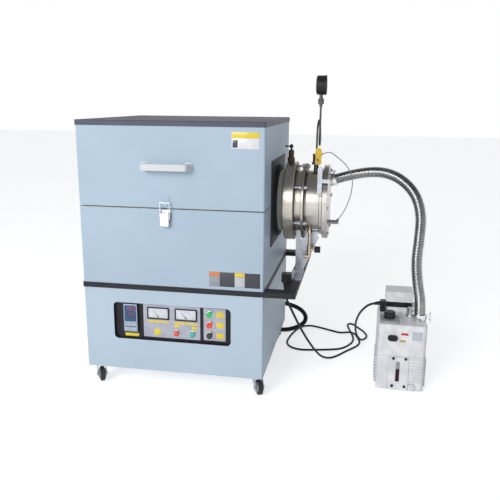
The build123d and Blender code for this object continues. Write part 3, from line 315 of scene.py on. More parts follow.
# %% Sockets that can be calculated with
class Wire:
    """One output socket of a node, for use in formulas."""

    def __init__(self, tree, socket):
        self.tree = tree
        self.socket = socket

    @staticmethod
    def node(tree, kind, sockets=None, **settings):
        """Adds a node with its settings and a value or a link for each socket. Returns its first output."""
        made = tree.nodes.new("ShaderNode" + kind)
        for name, value in settings.items():
            setattr(made, name, value)
        for name, value in (sockets or {}).items():
            if isinstance(value, Wire):
                tree.links.new(value.socket, made.inputs[name])
            else:
                made.inputs[name].default_value = value
        first = next((socket for socket in made.outputs if socket.enabled), None)
        return Wire(tree, first)

    def out(self, name):
        """Another output of the same node."""
        return Wire(self.tree, self.socket.node.outputs[name])

    def math(self, operation, *others):
        """A Math node with this value as its first number."""
        sockets = dict(enumerate((self, *others)))
        return Wire.node(self.tree, "Math", sockets, operation=operation)

    def above(self, limit):
        return self.math("GREATER_THAN", limit)

    def maximum(self, other):
        return self.math("MAXIMUM", other)

    def step(self, low, high):
        """0 below low, 1 above high, and smooth between them."""
        sockets = {0: self, 1: low, 2: high, 3: 0.0, 4: 1.0}
        return Wire.node(self.tree, "MapRange", sockets, interpolation_type="SMOOTHSTEP")

    def mix(self, first, second):
        """A colour between two colours, with this value as the share of the second."""
        colours = {"Factor": self, 6: rgba(first), 7: rgba(second)}
        return Wire.node(self.tree, "Mix", colours, data_type="RGBA")


def rgba(colour):
    """A colour with its fourth number; a wire stays as it is."""
    return colour if isinstance(colour, Wire) else (*colour[:3], 1)


def arithmetic(operation):
    """The methods for an operator with the wire on its left and on its right."""
    def left(self, other):
        return self.math(operation, other)

    def right(self, other):
        return Wire.node(self.tree, "Math", {0: other, 1: self}, operation=operation)

    return left, right


Wire.__add__, Wire.__radd__ = arithmetic("ADD")
Wire.__sub__, Wire.__rsub__ = arithmetic("SUBTRACT")
Wire.__mul__, Wire.__rmul__ = arithmetic("MULTIPLY")
Wire.__pow__ = arithmetic("POWER")[0]


def shade(colour, by, plus=0.0):
    """A colour made darker or lighter."""
    return [min(1, part * by + plus) for part in colour]


print("wires ready")


# %% [markdown]
# What is the same all over is set on the shader's own sockets; what changes is linked. All patterns read
# Object coordinates, in metres, so a grain of 0.5 mm is a noise with a scale of about 2000.

# %% A finish
class Finish:
    """A material with a Principled shader whose patterns are written as formulas."""

    def __init__(self, name, colour, roughness, metallic=0.0, **constants):
        self.material = bpy.data.materials.new(name)
        self.material.use_nodes = True
        self.tree = self.material.node_tree
        self.tree.nodes.clear()
        sockets = {"Base Color": rgba(colour), "Roughness": roughness, "Metallic": metallic}
        sockets.update({key.replace("_", " "): value for key, value in constants.items()})
        self.shader = self.add("BsdfPrincipled", sockets)
        self.output = self.tree.nodes.new("ShaderNodeOutputMaterial")
        self.surface(self.shader)
        self.material.diffuse_color = rgba(colour)

    def add(self, kind, sockets=None):
        return Wire.node(self.tree, kind, sockets)

    def surface(self, shader):
        self.tree.links.new(shader.socket, self.output.inputs["Surface"])

    def link(self, name, wire):
        """Links a formula to a socket of the shader."""
        self.tree.links.new(wire.socket, self.shader.socket.node.inputs[name])

    def tint(self, share, first, second):
        """Makes the base colour a mix of two."""
        self.link("Base Color", share.mix(first, second))

    def place(self, scale=(1, 1, 1)):
        """Object coordinates, stretched."""
        here = self.add("TexCoord").out("Object")
        return self.add("Mapping", {0: here, 3: scale})

    def parts_of(self, vector):
        """The three numbers of a vector."""
        split = self.add("SeparateXYZ", {0: vector})
        return split, split.out("Y"), split.out("Z")

    def noise(self, scale, detail=2.0, rough=0.5, at=None):
        """Cloudy values round 0.5, with lumps of about 1 / scale metres."""
        sockets = {"Vector": at or self.place(), "Scale": scale, "Detail": detail, "Roughness": rough}
        return self.add("TexNoise", sockets)

    def cells(self, scale):
        """The distance to the nearest of many scattered points."""
        return self.add("TexVoronoi", {"Vector": self.place(), "Scale": scale})

    def bump(self, height, distance, strength=1.0):
        """Lets the height, in units of that distance in metres, shade the surface."""
        sockets = {"Height": height, "Distance": distance, "Strength": strength}
        self.link("Normal", self.add("Bump", sockets))

    def dress(self, *pieces):
        """Gives this material to every slot of the pieces."""
        for piece in pieces:
            if not piece.data.materials:
                piece.data.materials.append(self.material)
            for index in range(len(piece.data.materials)):
                piece.data.materials[index] = self.material
        return self


print("finishes ready")

# %% [markdown]
# The cabinet is sheet steel with a baked paint. Such paint has a fine ripple, a faint cloudiness over a
# hand's width and a little dust near the floor. The pump's white paint has a coarser ripple.

# %% Paints
def paint(name, colour, roughness=0.42, ripple=0.00006, cloudy=0.03):
    """Baked paint: a slightly cloudy colour, a fine ripple and an uneven, rather dull gloss."""
    finish = Finish(name, colour, roughness, Specular_IOR_Level=0.2)
    clouds = finish.noise(3.2, 2)
    specks = finish.noise(900, 1)
    mottled = clouds.step(0.3, 0.7).mix(shade(colour, 1 - cloudy), shade(colour, 1 + cloudy))
    low = finish.parts_of(finish.place())[2]
    dust = (1 - low.step(0.0, 0.16)) * finish.noise(30, 4).step(0.4, 0.75) * 0.16
    finish.tint(dust, mottled, shade(colour, 0.72, 0.04))
    finish.link("Roughness", roughness + (clouds - 0.5) * 0.16 + (specks - 0.5) * 0.05 + dust)
    finish.bump(finish.noise(420, 2) + specks * 0.35, ripple, 0.8)
    return finish


blue_paint = paint("pale blue paint", (0.474, 0.592, 0.708))
# the lower cabinet's copy of the blue paint is lighter: painted light standing in for the floor's bounce light
lower_cabinet_light_paint = paint("pale blue paint of the lower cabinet", (0.535, 0.645, 0.755))
white_paint = paint("white casting paint", (0.78, 0.79, 0.81), 0.42, 0.00012)
handle_paint = paint("white handle paint", (0.76, 0.77, 0.79), 0.35)
print("paints ready")

# %% [markdown]
# The base frame, the roof and the plates round the tube have a dark powder paint: small grains with tops
# that are slightly greyer.

# %% Black powder paint
def powder_paint(name, colour, roughness=0.55, gloss=0.2):
    """Powder paint: fine grains with paler tops."""
    finish = Finish(name, colour, roughness, Specular_IOR_Level=gloss)
    grains = finish.noise(1500, 2, 0.6)
    clouds = finish.noise(7, 3)
    tops = grains.step(0.45, 0.75) * 0.5 + clouds * 0.3
    finish.tint(tops, colour, shade(colour, 1.9, 0.012))
    finish.link("Roughness", roughness + (clouds - 0.5) * 0.2)
    finish.bump(grains, 0.0002, 0.6)
    return finish


black_paint = powder_paint("black powder paint", (0.022, 0.023, 0.028))
# the roof's copy of the black powder paint is lighter and bluer: painted sheen of the sky on the top
roof_sheen_paint = powder_paint("roof powder paint", (0.050, 0.052, 0.085), 0.5, 0.5)
print("powder paints ready")

# %% [markdown]
# The flanges were turned on a lathe, so fine lines run round the tube's axis: the noise is read at (position
# along the axis, distance from the axis). Their colour also has painted shade: dark rings at the seams between
# parts and a darker lower side. The hose's thin steel and plated metal have smudges and a cloudy tone.

# %% Turned steel
tube_axis_z = 0.607
# places along the axis of the seams between parts, where the colour gets painted shade
shaded_seam_places = (0.3675, 0.391, 0.4003, 0.4055, 0.4505, 0.4598)


def turned_metal(name, colour, roughness, tint):
    """Lathe-turned metal round the work tube's axis, with heat tint towards the furnace and painted shade at
    seams and below.
    """
    finish = Finish(name, colour, roughness, 1.0)
    along, side, height = finish.parts_of(finish.place())
    rise = height - tube_axis_z
    out = (side * side + rise * rise) ** 0.5
    lines, wide = (
        finish.noise(1, 2, at=finish.add("CombineXYZ", {0: along * fine, 1: out * fine}))
        for fine in (2600, 260)
    )
    smudge = finish.noise(14, 3)
    tone = (wide * 0.5 + smudge * 0.5).step(0.3, 0.7)
    warm = (1 - along.step(0.36, 0.47)) * 0.6
    toned = tone.mix(shade(colour, 0.8), colour)
    # painted shade: the colour darkens in rings at the seams between parts
    seam_shade = None
    for place in shaded_seam_places:
        near = 1 - (along - place).math("ABSOLUTE").step(0.0004, 0.0022)
        seam_shade = near if seam_shade is None else seam_shade.maximum(near)
    # painted shade: the colour darkens towards the lower side, below the tube's axis
    lower_shade = (0.5 - rise * 6.0 + (smudge - 0.5) * 0.6).step(0.6, 1.15) * 0.6
    painted_shade = seam_shade.maximum(lower_shade)
    # the painted shade of the seams and the lower side mixes the colour towards a dark brown
    finish.tint(painted_shade * 0.85, warm.mix(toned, tint), (0.075, 0.070, 0.055))
    finish.link("Roughness", roughness + (lines - 0.5) * 0.14 + (smudge - 0.5) * 0.12 + painted_shade * 0.15)
    finish.bump(lines + wide * 0.6, 0.00005, 0.7)
    return finish


flange_steel = turned_metal("turned flange steel", (0.60, 0.575, 0.545), 0.27, (0.50, 0.455, 0.38))
print("turned steel ready")


# %% Brushed and plated metals
def brushed_metal(name, colour, roughness, stretch, darkest):
    """Metal with streaks, stretched by a scale on each axis."""
    finish = Finish(name, colour, roughness, 1.0)
    streaks = finish.noise(1, 3, at=finish.place(stretch))
    smudge = finish.noise(18, 3)
    finish.tint((streaks * 0.6 + smudge * 0.4).step(0.3, 0.7), shade(colour, darkest), colour)
    finish.link("Roughness", roughness + (streaks - 0.5) * 0.2 + (smudge - 0.5) * 0.1)
    finish.bump(streaks, 0.00003, 0.6)
    return finish


def plated_metal(name, colour, roughness, cloud=0.12, metallic=1.0):
    """Plated or polished metal with smudges and faint pits."""
    finish = Finish(name, colour, roughness, metallic)
    smudge = finish.noise(35, 3)
    grains = finish.noise(420, 2)
    finish.tint((smudge * 0.6 + grains * 0.4).step(0.3, 0.7), shade(colour, 1 - 2 * cloud), colour)
    finish.link("Roughness", roughness + (smudge - 0.5) * cloud * 1.6)
    finish.bump(grains, 0.00003, 0.5)
    return finish


chrome = plated_metal("chrome plating", (0.80, 0.81, 0.83), 0.14, 0.08)
zinc = plated_metal("zinc plating", (0.50, 0.52, 0.58), 0.42, 0.14)
dark_steel = plated_metal("dark steel tube", (0.11, 0.11, 0.105), 0.3, 0.2)
wire_steel = plated_metal("drawn capillary", (0.30, 0.30, 0.31), 0.35, 0.16)
bronze = plated_metal("dark bronze casting", (0.085, 0.072, 0.055), 0.42, 0.2, 0.8)
brass = plated_metal("worn brass", (0.60, 0.47, 0.36), 0.3, 0.16)
hose_steel = brushed_metal("bellows steel", (0.40, 0.40, 0.405), 0.24, (60, 60, 60), 0.75)
print("metals ready")

# %% [markdown]
# The half cylinders inside are pressed ceramic fibre: matt, nearly white and felted, with yellowish patches.
# The work tube is dense alumina, smooth and ivory white.

# %% Ceramics
fibre = Finish("ceramic fibre board", (0.84, 0.82, 0.77), 0.95)
felt = fibre.noise(420, 5, 0.7)
patches = fibre.noise(9, 3)
fibre.tint(patches.step(0.35, 0.75), (0.86, 0.84, 0.80), (0.78, 0.72, 0.62))
fibre.link("Roughness", 0.88 + felt * 0.1)
fibre.bump(felt + fibre.cells(160) * 0.5, 0.0006, 0.7)

alumina = Finish("alumina tube", (0.86, 0.84, 0.79), 0.35, Coat_Weight=0.2)
veil = alumina.noise(16, 4)
alumina.tint(veil.step(0.35, 0.7), (0.87, 0.85, 0.81), (0.76, 0.72, 0.65))
alumina.link("Roughness", 0.3 + veil * 0.2)
alumina.bump(alumina.noise(600, 2), 0.00005, 0.5)
print("ceramics ready")


# %% [markdown]
# Plastics have a fine even grain, rubber a coarser and duller one, and a tyre is scuffed grey.

# %% Plastics and rubber
dull = {"Specular_IOR_Level": 0.25}


def moulded(name, colour, roughness=0.4, grain=0.00004, scale=1100, lift=1.25, **constants):
    """Moulded plastic or rubber with a fine grain and faint wear."""
    finish = Finish(name, colour, roughness, **constants)
    fine = finish.noise(scale, 2)
    worn = finish.noise(40, 4)
    finish.tint(worn.step(0.4, 0.75) * 0.7 + fine * 0.15, colour, shade(colour, lift, 0.004))
    finish.link("Roughness", roughness + (worn - 0.5) * 0.18)
    finish.bump(fine, grain, 0.7)
    return finish


black_plastic = moulded("black plastic", (0.018, 0.018, 0.020), 0.36, lift=1.6, **dull)
grey_plastic = moulded("grey plastic", (0.30, 0.30, 0.31), 0.45)
white_plastic = moulded("white plastic", (0.80, 0.80, 0.81), 0.4, lift=0.94)
yellow_plastic = moulded("yellow lever sleeve", (0.86, 0.56, 0.03), 0.38, Coat_Weight=0.3)
green_plastic = moulded("green button", (0.02, 0.50, 0.12), 0.25, Coat_Weight=0.5)
red_plastic = moulded("red button", (0.72, 0.045, 0.025), 0.25, Coat_Weight=0.5)
button_black = moulded(
    "black button", (0.022, 0.022, 0.024), 0.22, Coat_Weight=0.5, lift=1.5, Specular_IOR_Level=0.3,
)
rubber = moulded("cable rubber", (0.016, 0.016, 0.018), 0.5, 0.00008, 700, 1.8, **dull)
tyre = moulded("tyre", (0.035, 0.035, 0.037), 0.62, 0.00012, 500, 2.4, **dull)
print("plastics ready")

# %% [markdown]
# Each solid part takes the finish of its material, or its own where the second table names one.

# %% Finishes of the solid parts
finish_of_slot = {
    "blue_paint": blue_paint, "black_paint": black_paint, "chrome": chrome, "steel": flange_steel,
    "brass": brass, "fibre": fibre, "alumina": alumina, "zinc": zinc, "white_paint": white_paint,
    "white_plastic": white_plastic, "black_plastic": black_plastic, "grey_plastic": grey_plastic,
    "yellow_plastic": yellow_plastic, "green_plastic": green_plastic, "red_plastic": red_plastic,
    "rubber": rubber, "tyre": tyre,
}
finish_of_node = {
    "top_plate": roof_sheen_paint, "lid_handle": handle_paint, "black_button": button_black,
    "lower_cabinet": lower_cabinet_light_paint, "gauge_case": black_plastic, "gauge_line": dark_steel,
    "bleed_valve_body": bronze, "bleed_valve_lever": black_plastic, "gas_capillary": wire_steel,
    "flange_latch": zinc,
}
for row in frame["record"]["subparts"]:
    name = row["node"]
    finish_of_node.get(name, finish_of_slot[row["material_slot"]]).dress(nodes[name])
rubber.dress(pump_lead, mains_cable)
hose_steel.dress(hose)
print(len(nodes), "solid parts have a finish")

# %% [markdown]
# Some solid parts have two materials, such as a wheel with a grey hub. A mask tells them apart in the
# shader: it is 1 inside a box or near an axis and 0 outside.

# %% Masks and two-part finishes
def box_mask(finish, low, high):
    """1 inside a box between two corners in millimetres."""
    sides = finish.parts_of(finish.place())
    mask = None
    for side, a, b in zip(sides, low, high):
        inside = side.above(a / 1000) * (1 - side.above(b / 1000))
        mask = inside if mask is None else mask * inside
    return mask


def near_mask(finish, centre, radius):
    """1 closer than that radius to a point in millimetres, or to a line where one number of it is None."""
    square = None
    for side, middle in zip(finish.parts_of(finish.place()), centre):
        if middle is not None:
            away = side - middle / 1000
            square = away * away if square is None else square + away * away
    return 1 - square.above((radius / 1000) ** 2)


def two_part(name, first, second, mask_of, grain, height):
    """A finish that is the second (colour, roughness, metallic) in a box or where a mask is 1."""
    finish = Finish(name, first[0], first[1], **dull)
    mask = mask_of(finish) if callable(mask_of) else box_mask(finish, *mask_of)
    fine = finish.noise(grain, 2)
    worn = finish.noise(30, 4).step(0.35, 0.7)
    shades = [worn.mix(part[0], shade(part[0], 1.18, 0.006)) for part in (first, second)]
    finish.tint(mask, *shades)
    finish.link("Roughness", first[1] + mask * (second[1] - first[1]) + (worn - 0.5) * 0.12)
    finish.link("Metallic", first[2] + mask * (second[2] - first[2]))
    finish.bump(fine, height, 0.6)
    return finish


black_look = ((0.012, 0.012, 0.015), 0.45, 0.0)
plate_look = ((0.40, 0.41, 0.48), 0.42, 0.35)
steel_look = ((0.62, 0.62, 0.62), 0.28, 1.0)
grey_look = ((0.34, 0.345, 0.35), 0.5, 0.0)
print("masks ready")

# %% Panel, heating elements, pump parts
element_look = ((0.16, 0.15, 0.15), 0.55, 0.7)
fibre_look = ((0.84, 0.82, 0.77), 0.93, 0.0)


def panel_mask(finish):
    """The middle and the right instrument plate."""
    plates = box_mask(finish, (-101.5, -284.9, 179), (92, -283.2, 296))
    return plates + box_mask(finish, (102.5, -284.9, 181), (176.5, -283.2, 293))


def element_mask(finish):
    """What stands in the hollow of the heated half cylinders."""
    hollow = near_mask(finish, (None, 0, 608), 120.6)
    return hollow * box_mask(finish, (-232.5, -130, 480), (232.5, 130, 735))


def port_mask(finish):
    """The inlet, the exhaust and the small pin between them."""
    ports = near_mask(finish, (797, -95, None), 22) + near_mask(finish, (772, -52, None), 18)
    return ports + box_mask(finish, (690, -125, 242.2), (706, -105, 270))


box_foot = ((600, -60, 249), (900, 120, 268.2))
window_edge = ((600, -170, 0), (800, -163.6, 140))
window_look = ((0.80, 0.81, 0.83), 0.38, 0)
oval_plug = ((690, -170, 176), (730, -160.1, 202))
for node, name, first, second, mask, grain, height in (
    ("control_panel", "tray and instrument plates", black_look, plate_look, panel_mask, 900, 0.00003),
    ("lower_heater_module", "lower fibre", fibre_look, element_look, element_mask, 420, 0.0006),
    ("upper_heater_module", "upper fibre", fibre_look, element_look, element_mask, 420, 0.0006),
    ("pump_terminal_box", "terminal box", ((0.82, 0.83, 0.86), 0.4, 0), black_look, box_foot, 1100, 0.00005),
    ("pump_ports", "pump ports", grey_look, steel_look, port_mask, 1100, 0.00005),
    ("pump_sight_window", "window frame", window_look, black_look, window_edge, 1100, 0.00005),
    ("pump_oil_case", "oil case", ((0.82, 0.83, 0.85), 0.42, 0), black_look, oval_plug, 420, 0.00012),
):
    two_part(name, first, second, mask, grain, height).dress(nodes[node])
hub_r = 19.2
for wheel in ("front_left_wheel", "front_right_wheel", "rear_left_wheel", "rear_right_wheel"):
    low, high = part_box(wheel)
    centre = (low + high) * 500
    two_part(
        "tyre and hub of the " + wheel, ((0.035, 0.034, 0.034), 0.6, 0.0), grey_look,
        lambda finish: near_mask(finish, centre, hub_r), 500, 0.0001,
    ).dress(nodes[wheel])
print("two-part finishes ready")

# %% [markdown]
# ## Small pieces
#
# The pieces below lie on the solid parts. Three helpers make most of them: a block with softened edges, a
# rod with a softened rim, and a last step that gives a piece its finish and its body.

# %% Softened blocks and discs
def slab(name, x, y, z, soft=0.5, steps=2):
    """A block between two places on each axis, in millimetres, with all edges softened."""
    low, high = mm(x[0], y[0], z[0]), mm(x[1], y[1], z[1])
    fresh()
    bpy.ops.mesh.primitive_cube_add(size=1, location=(low + high) / 2, scale=high - low)
    piece = bpy.context.object
    piece.name = name
    apply_place(piece)
    edit()
    bpy.ops.mesh.bevel(offset=soft / 1000, segments=steps, affect="EDGES", clamp_overlap=True)
    leave()
    return piece


def rod(name, start, end, radius, soft=0.4, sides=32, steps=2):
    """A round rod from one place to another, in millimetres, with softened rims."""
    start, end = mm(*start), mm(*end)
    run = end - start
    fresh()
    bpy.ops.mesh.primitive_cylinder_add(vertices=sides, radius=radius / 1000, depth=run.length)
    piece = bpy.context.object
    piece.name = name
    edit()
    pick(piece, "edges", lambda edge: abs(edge.verts[0].co.z - edge.verts[1].co.z) < 1e-7)
    bpy.ops.mesh.bevel(offset=soft / 1000, segments=steps, affect="EDGES", clamp_overlap=True)
    leave()
    piece.rotation_mode = "QUATERNION"
    piece.rotation_quaternion = run.to_track_quat("Z", "Y")
    piece.location = (start + end) / 2
    apply_place(piece)
    return piece


def settle(piece, finish, body="cabinet"):
    """Gives the piece its finish, its smooth shading and the body that it moves with."""
    apply_place(piece)
    bpy.ops.object.shade_smooth_by_angle(angle=math.radians(35))
    finish.dress(piece)
    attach(piece, body)
    return piece


def plate(name, x, y, z, soft, finish, body="cabinet"):
    """A settled slab."""
    return settle(slab(name, x, y, z, soft), finish, body)


def copy_of(piece, name, shift=(0, 0, 0)):
    """A copy with its own mesh, moved by that many millimetres."""
    twin = show(name, piece.data.copy())
    twin.data.transform(Matrix.Translation(mm(*shift)))
    return twin


def joined(name, pieces):
    """Several pieces made one, under a new name."""
    fresh()
    for piece in pieces:
        piece.select_set(True)
    bpy.context.view_layer.objects.active = pieces[0]
    bpy.ops.object.join()
    pieces[0].name = name
    return pieces[0]


def written(name, text, x, y, z, height, thick=0.15, turn=(math.pi / 2, 0, 0)):
    """Numbers that stand on a face, as a thin mesh; they face the front unless turned."""
    fresh()
    bpy.ops.object.text_add(location=mm(x, y, z), rotation=turn)
    piece = bpy.context.object
    piece.name = name
    piece.data.body = text
    piece.data.size = height / 1000 * 1.35
    piece.data.align_x = "CENTER"
    piece.data.align_y = "CENTER"
    piece.data.resolution_u = 2
    piece.data.extrude = thick / 2000
    bpy.ops.object.convert(target="MESH")
    apply_place(piece)
    return piece


def turned(piece, angle, axis, x, z):
    """Turns a piece by that many degrees about an axis through x and z in millimetres."""
    pivot = Matrix.Translation(mm(x, 0, z))
    piece.data.transform(pivot @ Matrix.Rotation(math.radians(angle), 4, axis) @ pivot.inverted())
    return piece


def fan(name, count, long_tick, short_tick, face, top, soft, axis, start, step, pivot):
    """A fan of ticks, each (length, thickness), turned round a pivot from a start by a step in degrees."""
    ticks = []
    for index in range(count):
        length, thick = short_tick if index % 5 else long_tick
        tick = slab(f"{name}_{index}", *face(thick), (top - length, top), soft, 1)
        ticks.append(turned(tick, start + step * index, axis, *pivot))
    return settle(joined(name + "s", ticks), dark_ink)


print("small pieces ready")

# %% [markdown]
# Printed fields are thin foils. Their ink is a little uneven, and glossier than the paint under it.

# %% Inks and glass
def ink(name, colour, roughness=0.35):
    """Printed foil: an almost even colour with a faint cloudiness and a soft gloss."""
    finish = Finish(name, colour, roughness, Coat_Weight=0.3, Coat_Roughness=0.15)
    clouds = finish.noise(60, 3)
    finish.tint(clouds.step(0.3, 0.7), shade(colour, 0.93), shade(colour, 1.04))
    finish.link("Roughness", roughness + (clouds - 0.5) * 0.12)
    finish.bump(finish.noise(800, 1), 0.00002, 0.5)
    return finish


yellow_ink = ink("yellow foil", (0.86, 0.67, 0.03))
white_ink = ink("white foil", (0.84, 0.85, 0.87))
grey_ink = ink("grey foil", (0.33, 0.34, 0.38))
pale_ink = ink("pale grey foil", (0.58, 0.60, 0.66))
dark_ink = ink("dark foil", (0.032, 0.035, 0.045))
orange_ink = ink("orange foil", (0.80, 0.23, 0.06))
red_ink = ink("red foil", (0.62, 0.03, 0.035))
ochre_ink = ink("ochre foil", (0.55, 0.40, 0.05))
card_ink = ink("meter card", (0.82, 0.84, 0.90), 0.5)
blue_ink = ink("blue display foil", (0.020, 0.065, 0.19), 0.45)
pale_blue_ink = ink("pale blue frame", (0.36, 0.45, 0.60), 0.4)


def lit_ink(name, colour, strength):
    """A lit segment of a display: its colour also glows a little."""
    finish = ink(name, colour)
    finish.link("Emission Color", finish.noise(300, 1).mix(shade(colour, 0.8), colour))
    finish.shader.socket.node.inputs["Emission Strength"].default_value = strength
    return finish


red_light = lit_ink("red digits", (0.60, 0.04, 0.03), 0.5)
amber_light = lit_ink("amber digits", (0.34, 0.09, 0.05), 0.3)
green_light = lit_ink("green marks", (0.03, 0.36, 0.16), 0.35)


def glass(name, colour=(0.95, 0.97, 1.0), alpha=0.12):
    """A clear cover: mostly see-through, with a polished surface and faint dust."""
    finish = Finish(name, colour, 0.05)
    dust = finish.noise(70, 4)
    finish.link("Alpha", alpha + dust * 0.06)
    finish.link("Roughness", 0.03 + dust * 0.06)
    return finish


clear_glass = glass("clear cover glass")
display_glass = glass("tinted display glass", (0.10, 0.14, 0.22), 0.05)
oil_glass = Finish("oil behind glass", (0.10, 0.012, 0.012), 0.08, Specular_IOR_Level=0.2)
oil_height = oil_glass.parts_of(oil_glass.place())[2]
oil_glass.tint(oil_height.step(0.078, 0.086), (0.030, 0.002, 0.003), (0.30, 0.33, 0.36))
oil_glass.link("Roughness", 0.06 + oil_glass.noise(90, 2) * 0.05)
print("inks and glass ready")

# %% [markdown]
# The control panel is a black tray with a tall temperature controller at the left, two meters with pilot
# lamps in the middle and three push buttons at the right. Blank yellow foils mark each of them.

# %% Foils of the panel
panel_y = -284.5
foils = (
    ("left_meter", (-87, -13), (231.5, 238)), ("right_meter", (6, 82.5), (230.5, 237.5)),
    ("red_lamp", (5, 20.5), (218.5, 229)), ("green_lamp", (63.5, 80.5), (213.5, 224.5)),
    ("mains", (-64, -43), (188.5, 209.5)), ("start", (146, 170), (262.5, 281)),
    ("stop", (146, 170), (227, 245.5)), ("power", (146, 170), (191, 209.5)),
)
for name, x, z in foils:
    plate("foil_" + name, x, (panel_y - 0.5, panel_y + 0.1), z, 0.22, yellow_ink)
plate("foil_controller", (-166, -118), (-285.2, -282.9), (178, 188.5), 0.4, yellow_ink)
print(len(foils) + 1, "foils")

# %% [markdown]
# The controller has a pale blue frame and a dark blue display behind a tinted cover, with red and amber
# digits and green marks. A digit is made of those of seven short bars that are lit.

# %% Controller frame and display
ctrl_x, ctrl_face = -143, -293
bar_y = (ctrl_face - 0.95, ctrl_face - 0.6)


def centred(half):
    """Two places on x, that far left and right of the controller's middle."""
    return ctrl_x - half, ctrl_x + half


frame_piece = slab("controller_frame", centred(23.4), (ctrl_face - 0.5, ctrl_face + 0.4), (196.6, 291.4), 0.4)
edit()
pick(frame_piece, "faces", lambda face: face.normal.y < -0.9)
bpy.ops.mesh.inset(thickness=0.0022, depth=0)
bpy.ops.mesh.extrude_region_move(TRANSFORM_OT_translate={"value": (0, 0.0003, 0)})
leave()
settle(frame_piece, pale_blue_ink)
display_y = (ctrl_face - 0.7, ctrl_face - 0.1)
plate("controller_display", centred(19.5), display_y, (232.5, 287), 0.3, blue_ink)

lit_bars = {"0": "abcdef", "1": "bc", "2": "abged", "5": "afgcd"}


def digit(name, figure, x, z, height, finish):
    """One figure of seven bars, its middle at x and z in millimetres."""
    half, width, thick = height / 2, height * 0.5, height * 0.13
    places = {
        "a": (0, half, 1), "g": (0, 0, 1), "d": (0, -half, 1), "f": (-width / 2, half / 2, 0),
        "b": (width / 2, half / 2, 0), "e": (-width / 2, -half / 2, 0), "c": (width / 2, -half / 2, 0),
    }
    bars = []
    for bar in lit_bars[figure]:
        bar_x, bar_z, flat = places[bar]
        long = (width if flat else half) / 2 - thick * 0.6
        reach_x, reach_z = (long, thick / 2) if flat else (thick / 2, long)
        bars.append(slab(
            name + bar, (x + bar_x - reach_x, x + bar_x + reach_x), bar_y,
            (z + bar_z - reach_z, z + bar_z + reach_z), 0.1, 1,
        ))
    return settle(joined(name, bars), finish)


for index, figure in enumerate("1200"):
    digit(f"digit_upper_{index}", figure, ctrl_x - 12.2 + index * 8.2, 276, 10, red_light)
for index, figure in enumerate("1205"):
    digit(f"digit_lower_{index}", figure, ctrl_x - 7.6 + index * 6.6, 257.5, 8, amber_light)
for index in range(4):
    mark_x = ctrl_x - 12 + index * 8
    mark_span = (mark_x - 2, mark_x + 2)
    plate(f"display_mark_{index}", mark_span, bar_y, (240, 241.6), 0.15, green_light)
cover_y = (ctrl_face - 1.5, ctrl_face - 1.15)
plate("controller_cover", centred(19.8), cover_y, (232.2, 287.3), 0.15, display_glass)
print("controller display ready")

# %% Controller keys
key_cap = ink("key caps", (0.50, 0.56, 0.66), 0.5)
key_x, key_z = ctrl_x - 14.7, 220
key_y = (ctrl_face - 1.6, ctrl_face - 0.2)
key = slab("key_0_0", (ctrl_x - 18.5, ctrl_x - 10.9), key_y, (215.5, 224.5), 0.7)
edit()
pick(key, "faces", lambda face: face.normal.y < -0.99)
bpy.ops.mesh.inset(thickness=0.0008, depth=0.0003)
leave()
dot_back, dot_front = (key_x, ctrl_face - 1.3, key_z), (key_x, ctrl_face - 1.75, key_z)
dot = rod("dot_0_0", dot_back, dot_front, 1.7, 0.1, 12, 1)
keypad = ((key, "key", key_cap, "grey_plastic"), (dot, "dot", blue_ink, "black_plastic"))
for row, column in ((0, 1), (0, 2), (0, 3), (1, 0), (1, 1), (1, 2), (1, 3)):
    for first, stem, finish, slot in keypad:
        settle(copy_of(first, f"{stem}_{row}_{column}", (column * 9.8, 0, -13.5 * row)), finish)
for first, stem, finish, slot in keypad:
    settle(first, finish)
print("8 keys")

# %% [markdown]
# A meter has a white card with a fan of ticks round the needle's pivot. Every fifth tick is long and carries
# a number. A clear cover closes the window.

# %% Meter cards
pivot_z = 252.5
card_y = -286.0
for meter, meter_x, full_scale in (("voltmeter", -50, 200), ("ammeter", 44.25, 40)):
    card_x, pane_x = (meter_x - 33, meter_x + 33), (meter_x - 33.4, meter_x + 33.4)
    card_span = (card_y - 0.35, card_y + 0.1)
    plate(meter + "_card", card_x, card_span, (248.4, 280.6), 0.15, card_ink)
    fan(
        meter + "_tick", 21, (3.4, 0.42), (1.9, 0.25),
        lambda thick: ((meter_x - thick / 2, meter_x + thick / 2), (card_y - 0.5, card_y - 0.3)),
        pivot_z + 25.6, 0.05, "Y", -38, 3.8, (meter_x, pivot_z),
    )
    for index in range(5):
        number = str(full_scale * index // 4)
        lean_angle = math.radians(-38 + 19 * index)
        number_x = meter_x + 19.4 * math.sin(lean_angle)
        number_z = pivot_z + 19.4 * math.cos(lean_angle)
        figure = written(f"{meter}_number_{index}", number, number_x, card_y - 0.4, number_z, 2.3)
        settle(figure, dark_ink)
    plate(meter + "_glass", pane_x, (-288.45, -288.1), (248.1, 280.9), 0.12, clear_glass)
print("meter cards ready")

# %% [markdown]
# The pilot lamps are domes. A dome starts as a sphere, is cut by a bisect that keeps the front half, is
# pressed flatter, and gets a thin collar that meets the panel.

# %% Domes
def cut_ball(name, centre, radius, sides, turn, cut, normal, **cleared):
    """A ball in millimetres, cut by a plane through a place; one side of the plane is cleared."""
    fresh()
    bpy.ops.mesh.primitive_uv_sphere_add(
        segments=sides, ring_count=sides // 2, radius=radius / 1000, location=mm(*centre), rotation=turn,
    )
    piece = bpy.context.object
    piece.name = name
    apply_place(piece)
    edit()
    bpy.ops.mesh.bisect(plane_co=mm(*cut), plane_no=normal, **cleared)
    leave()
    return piece


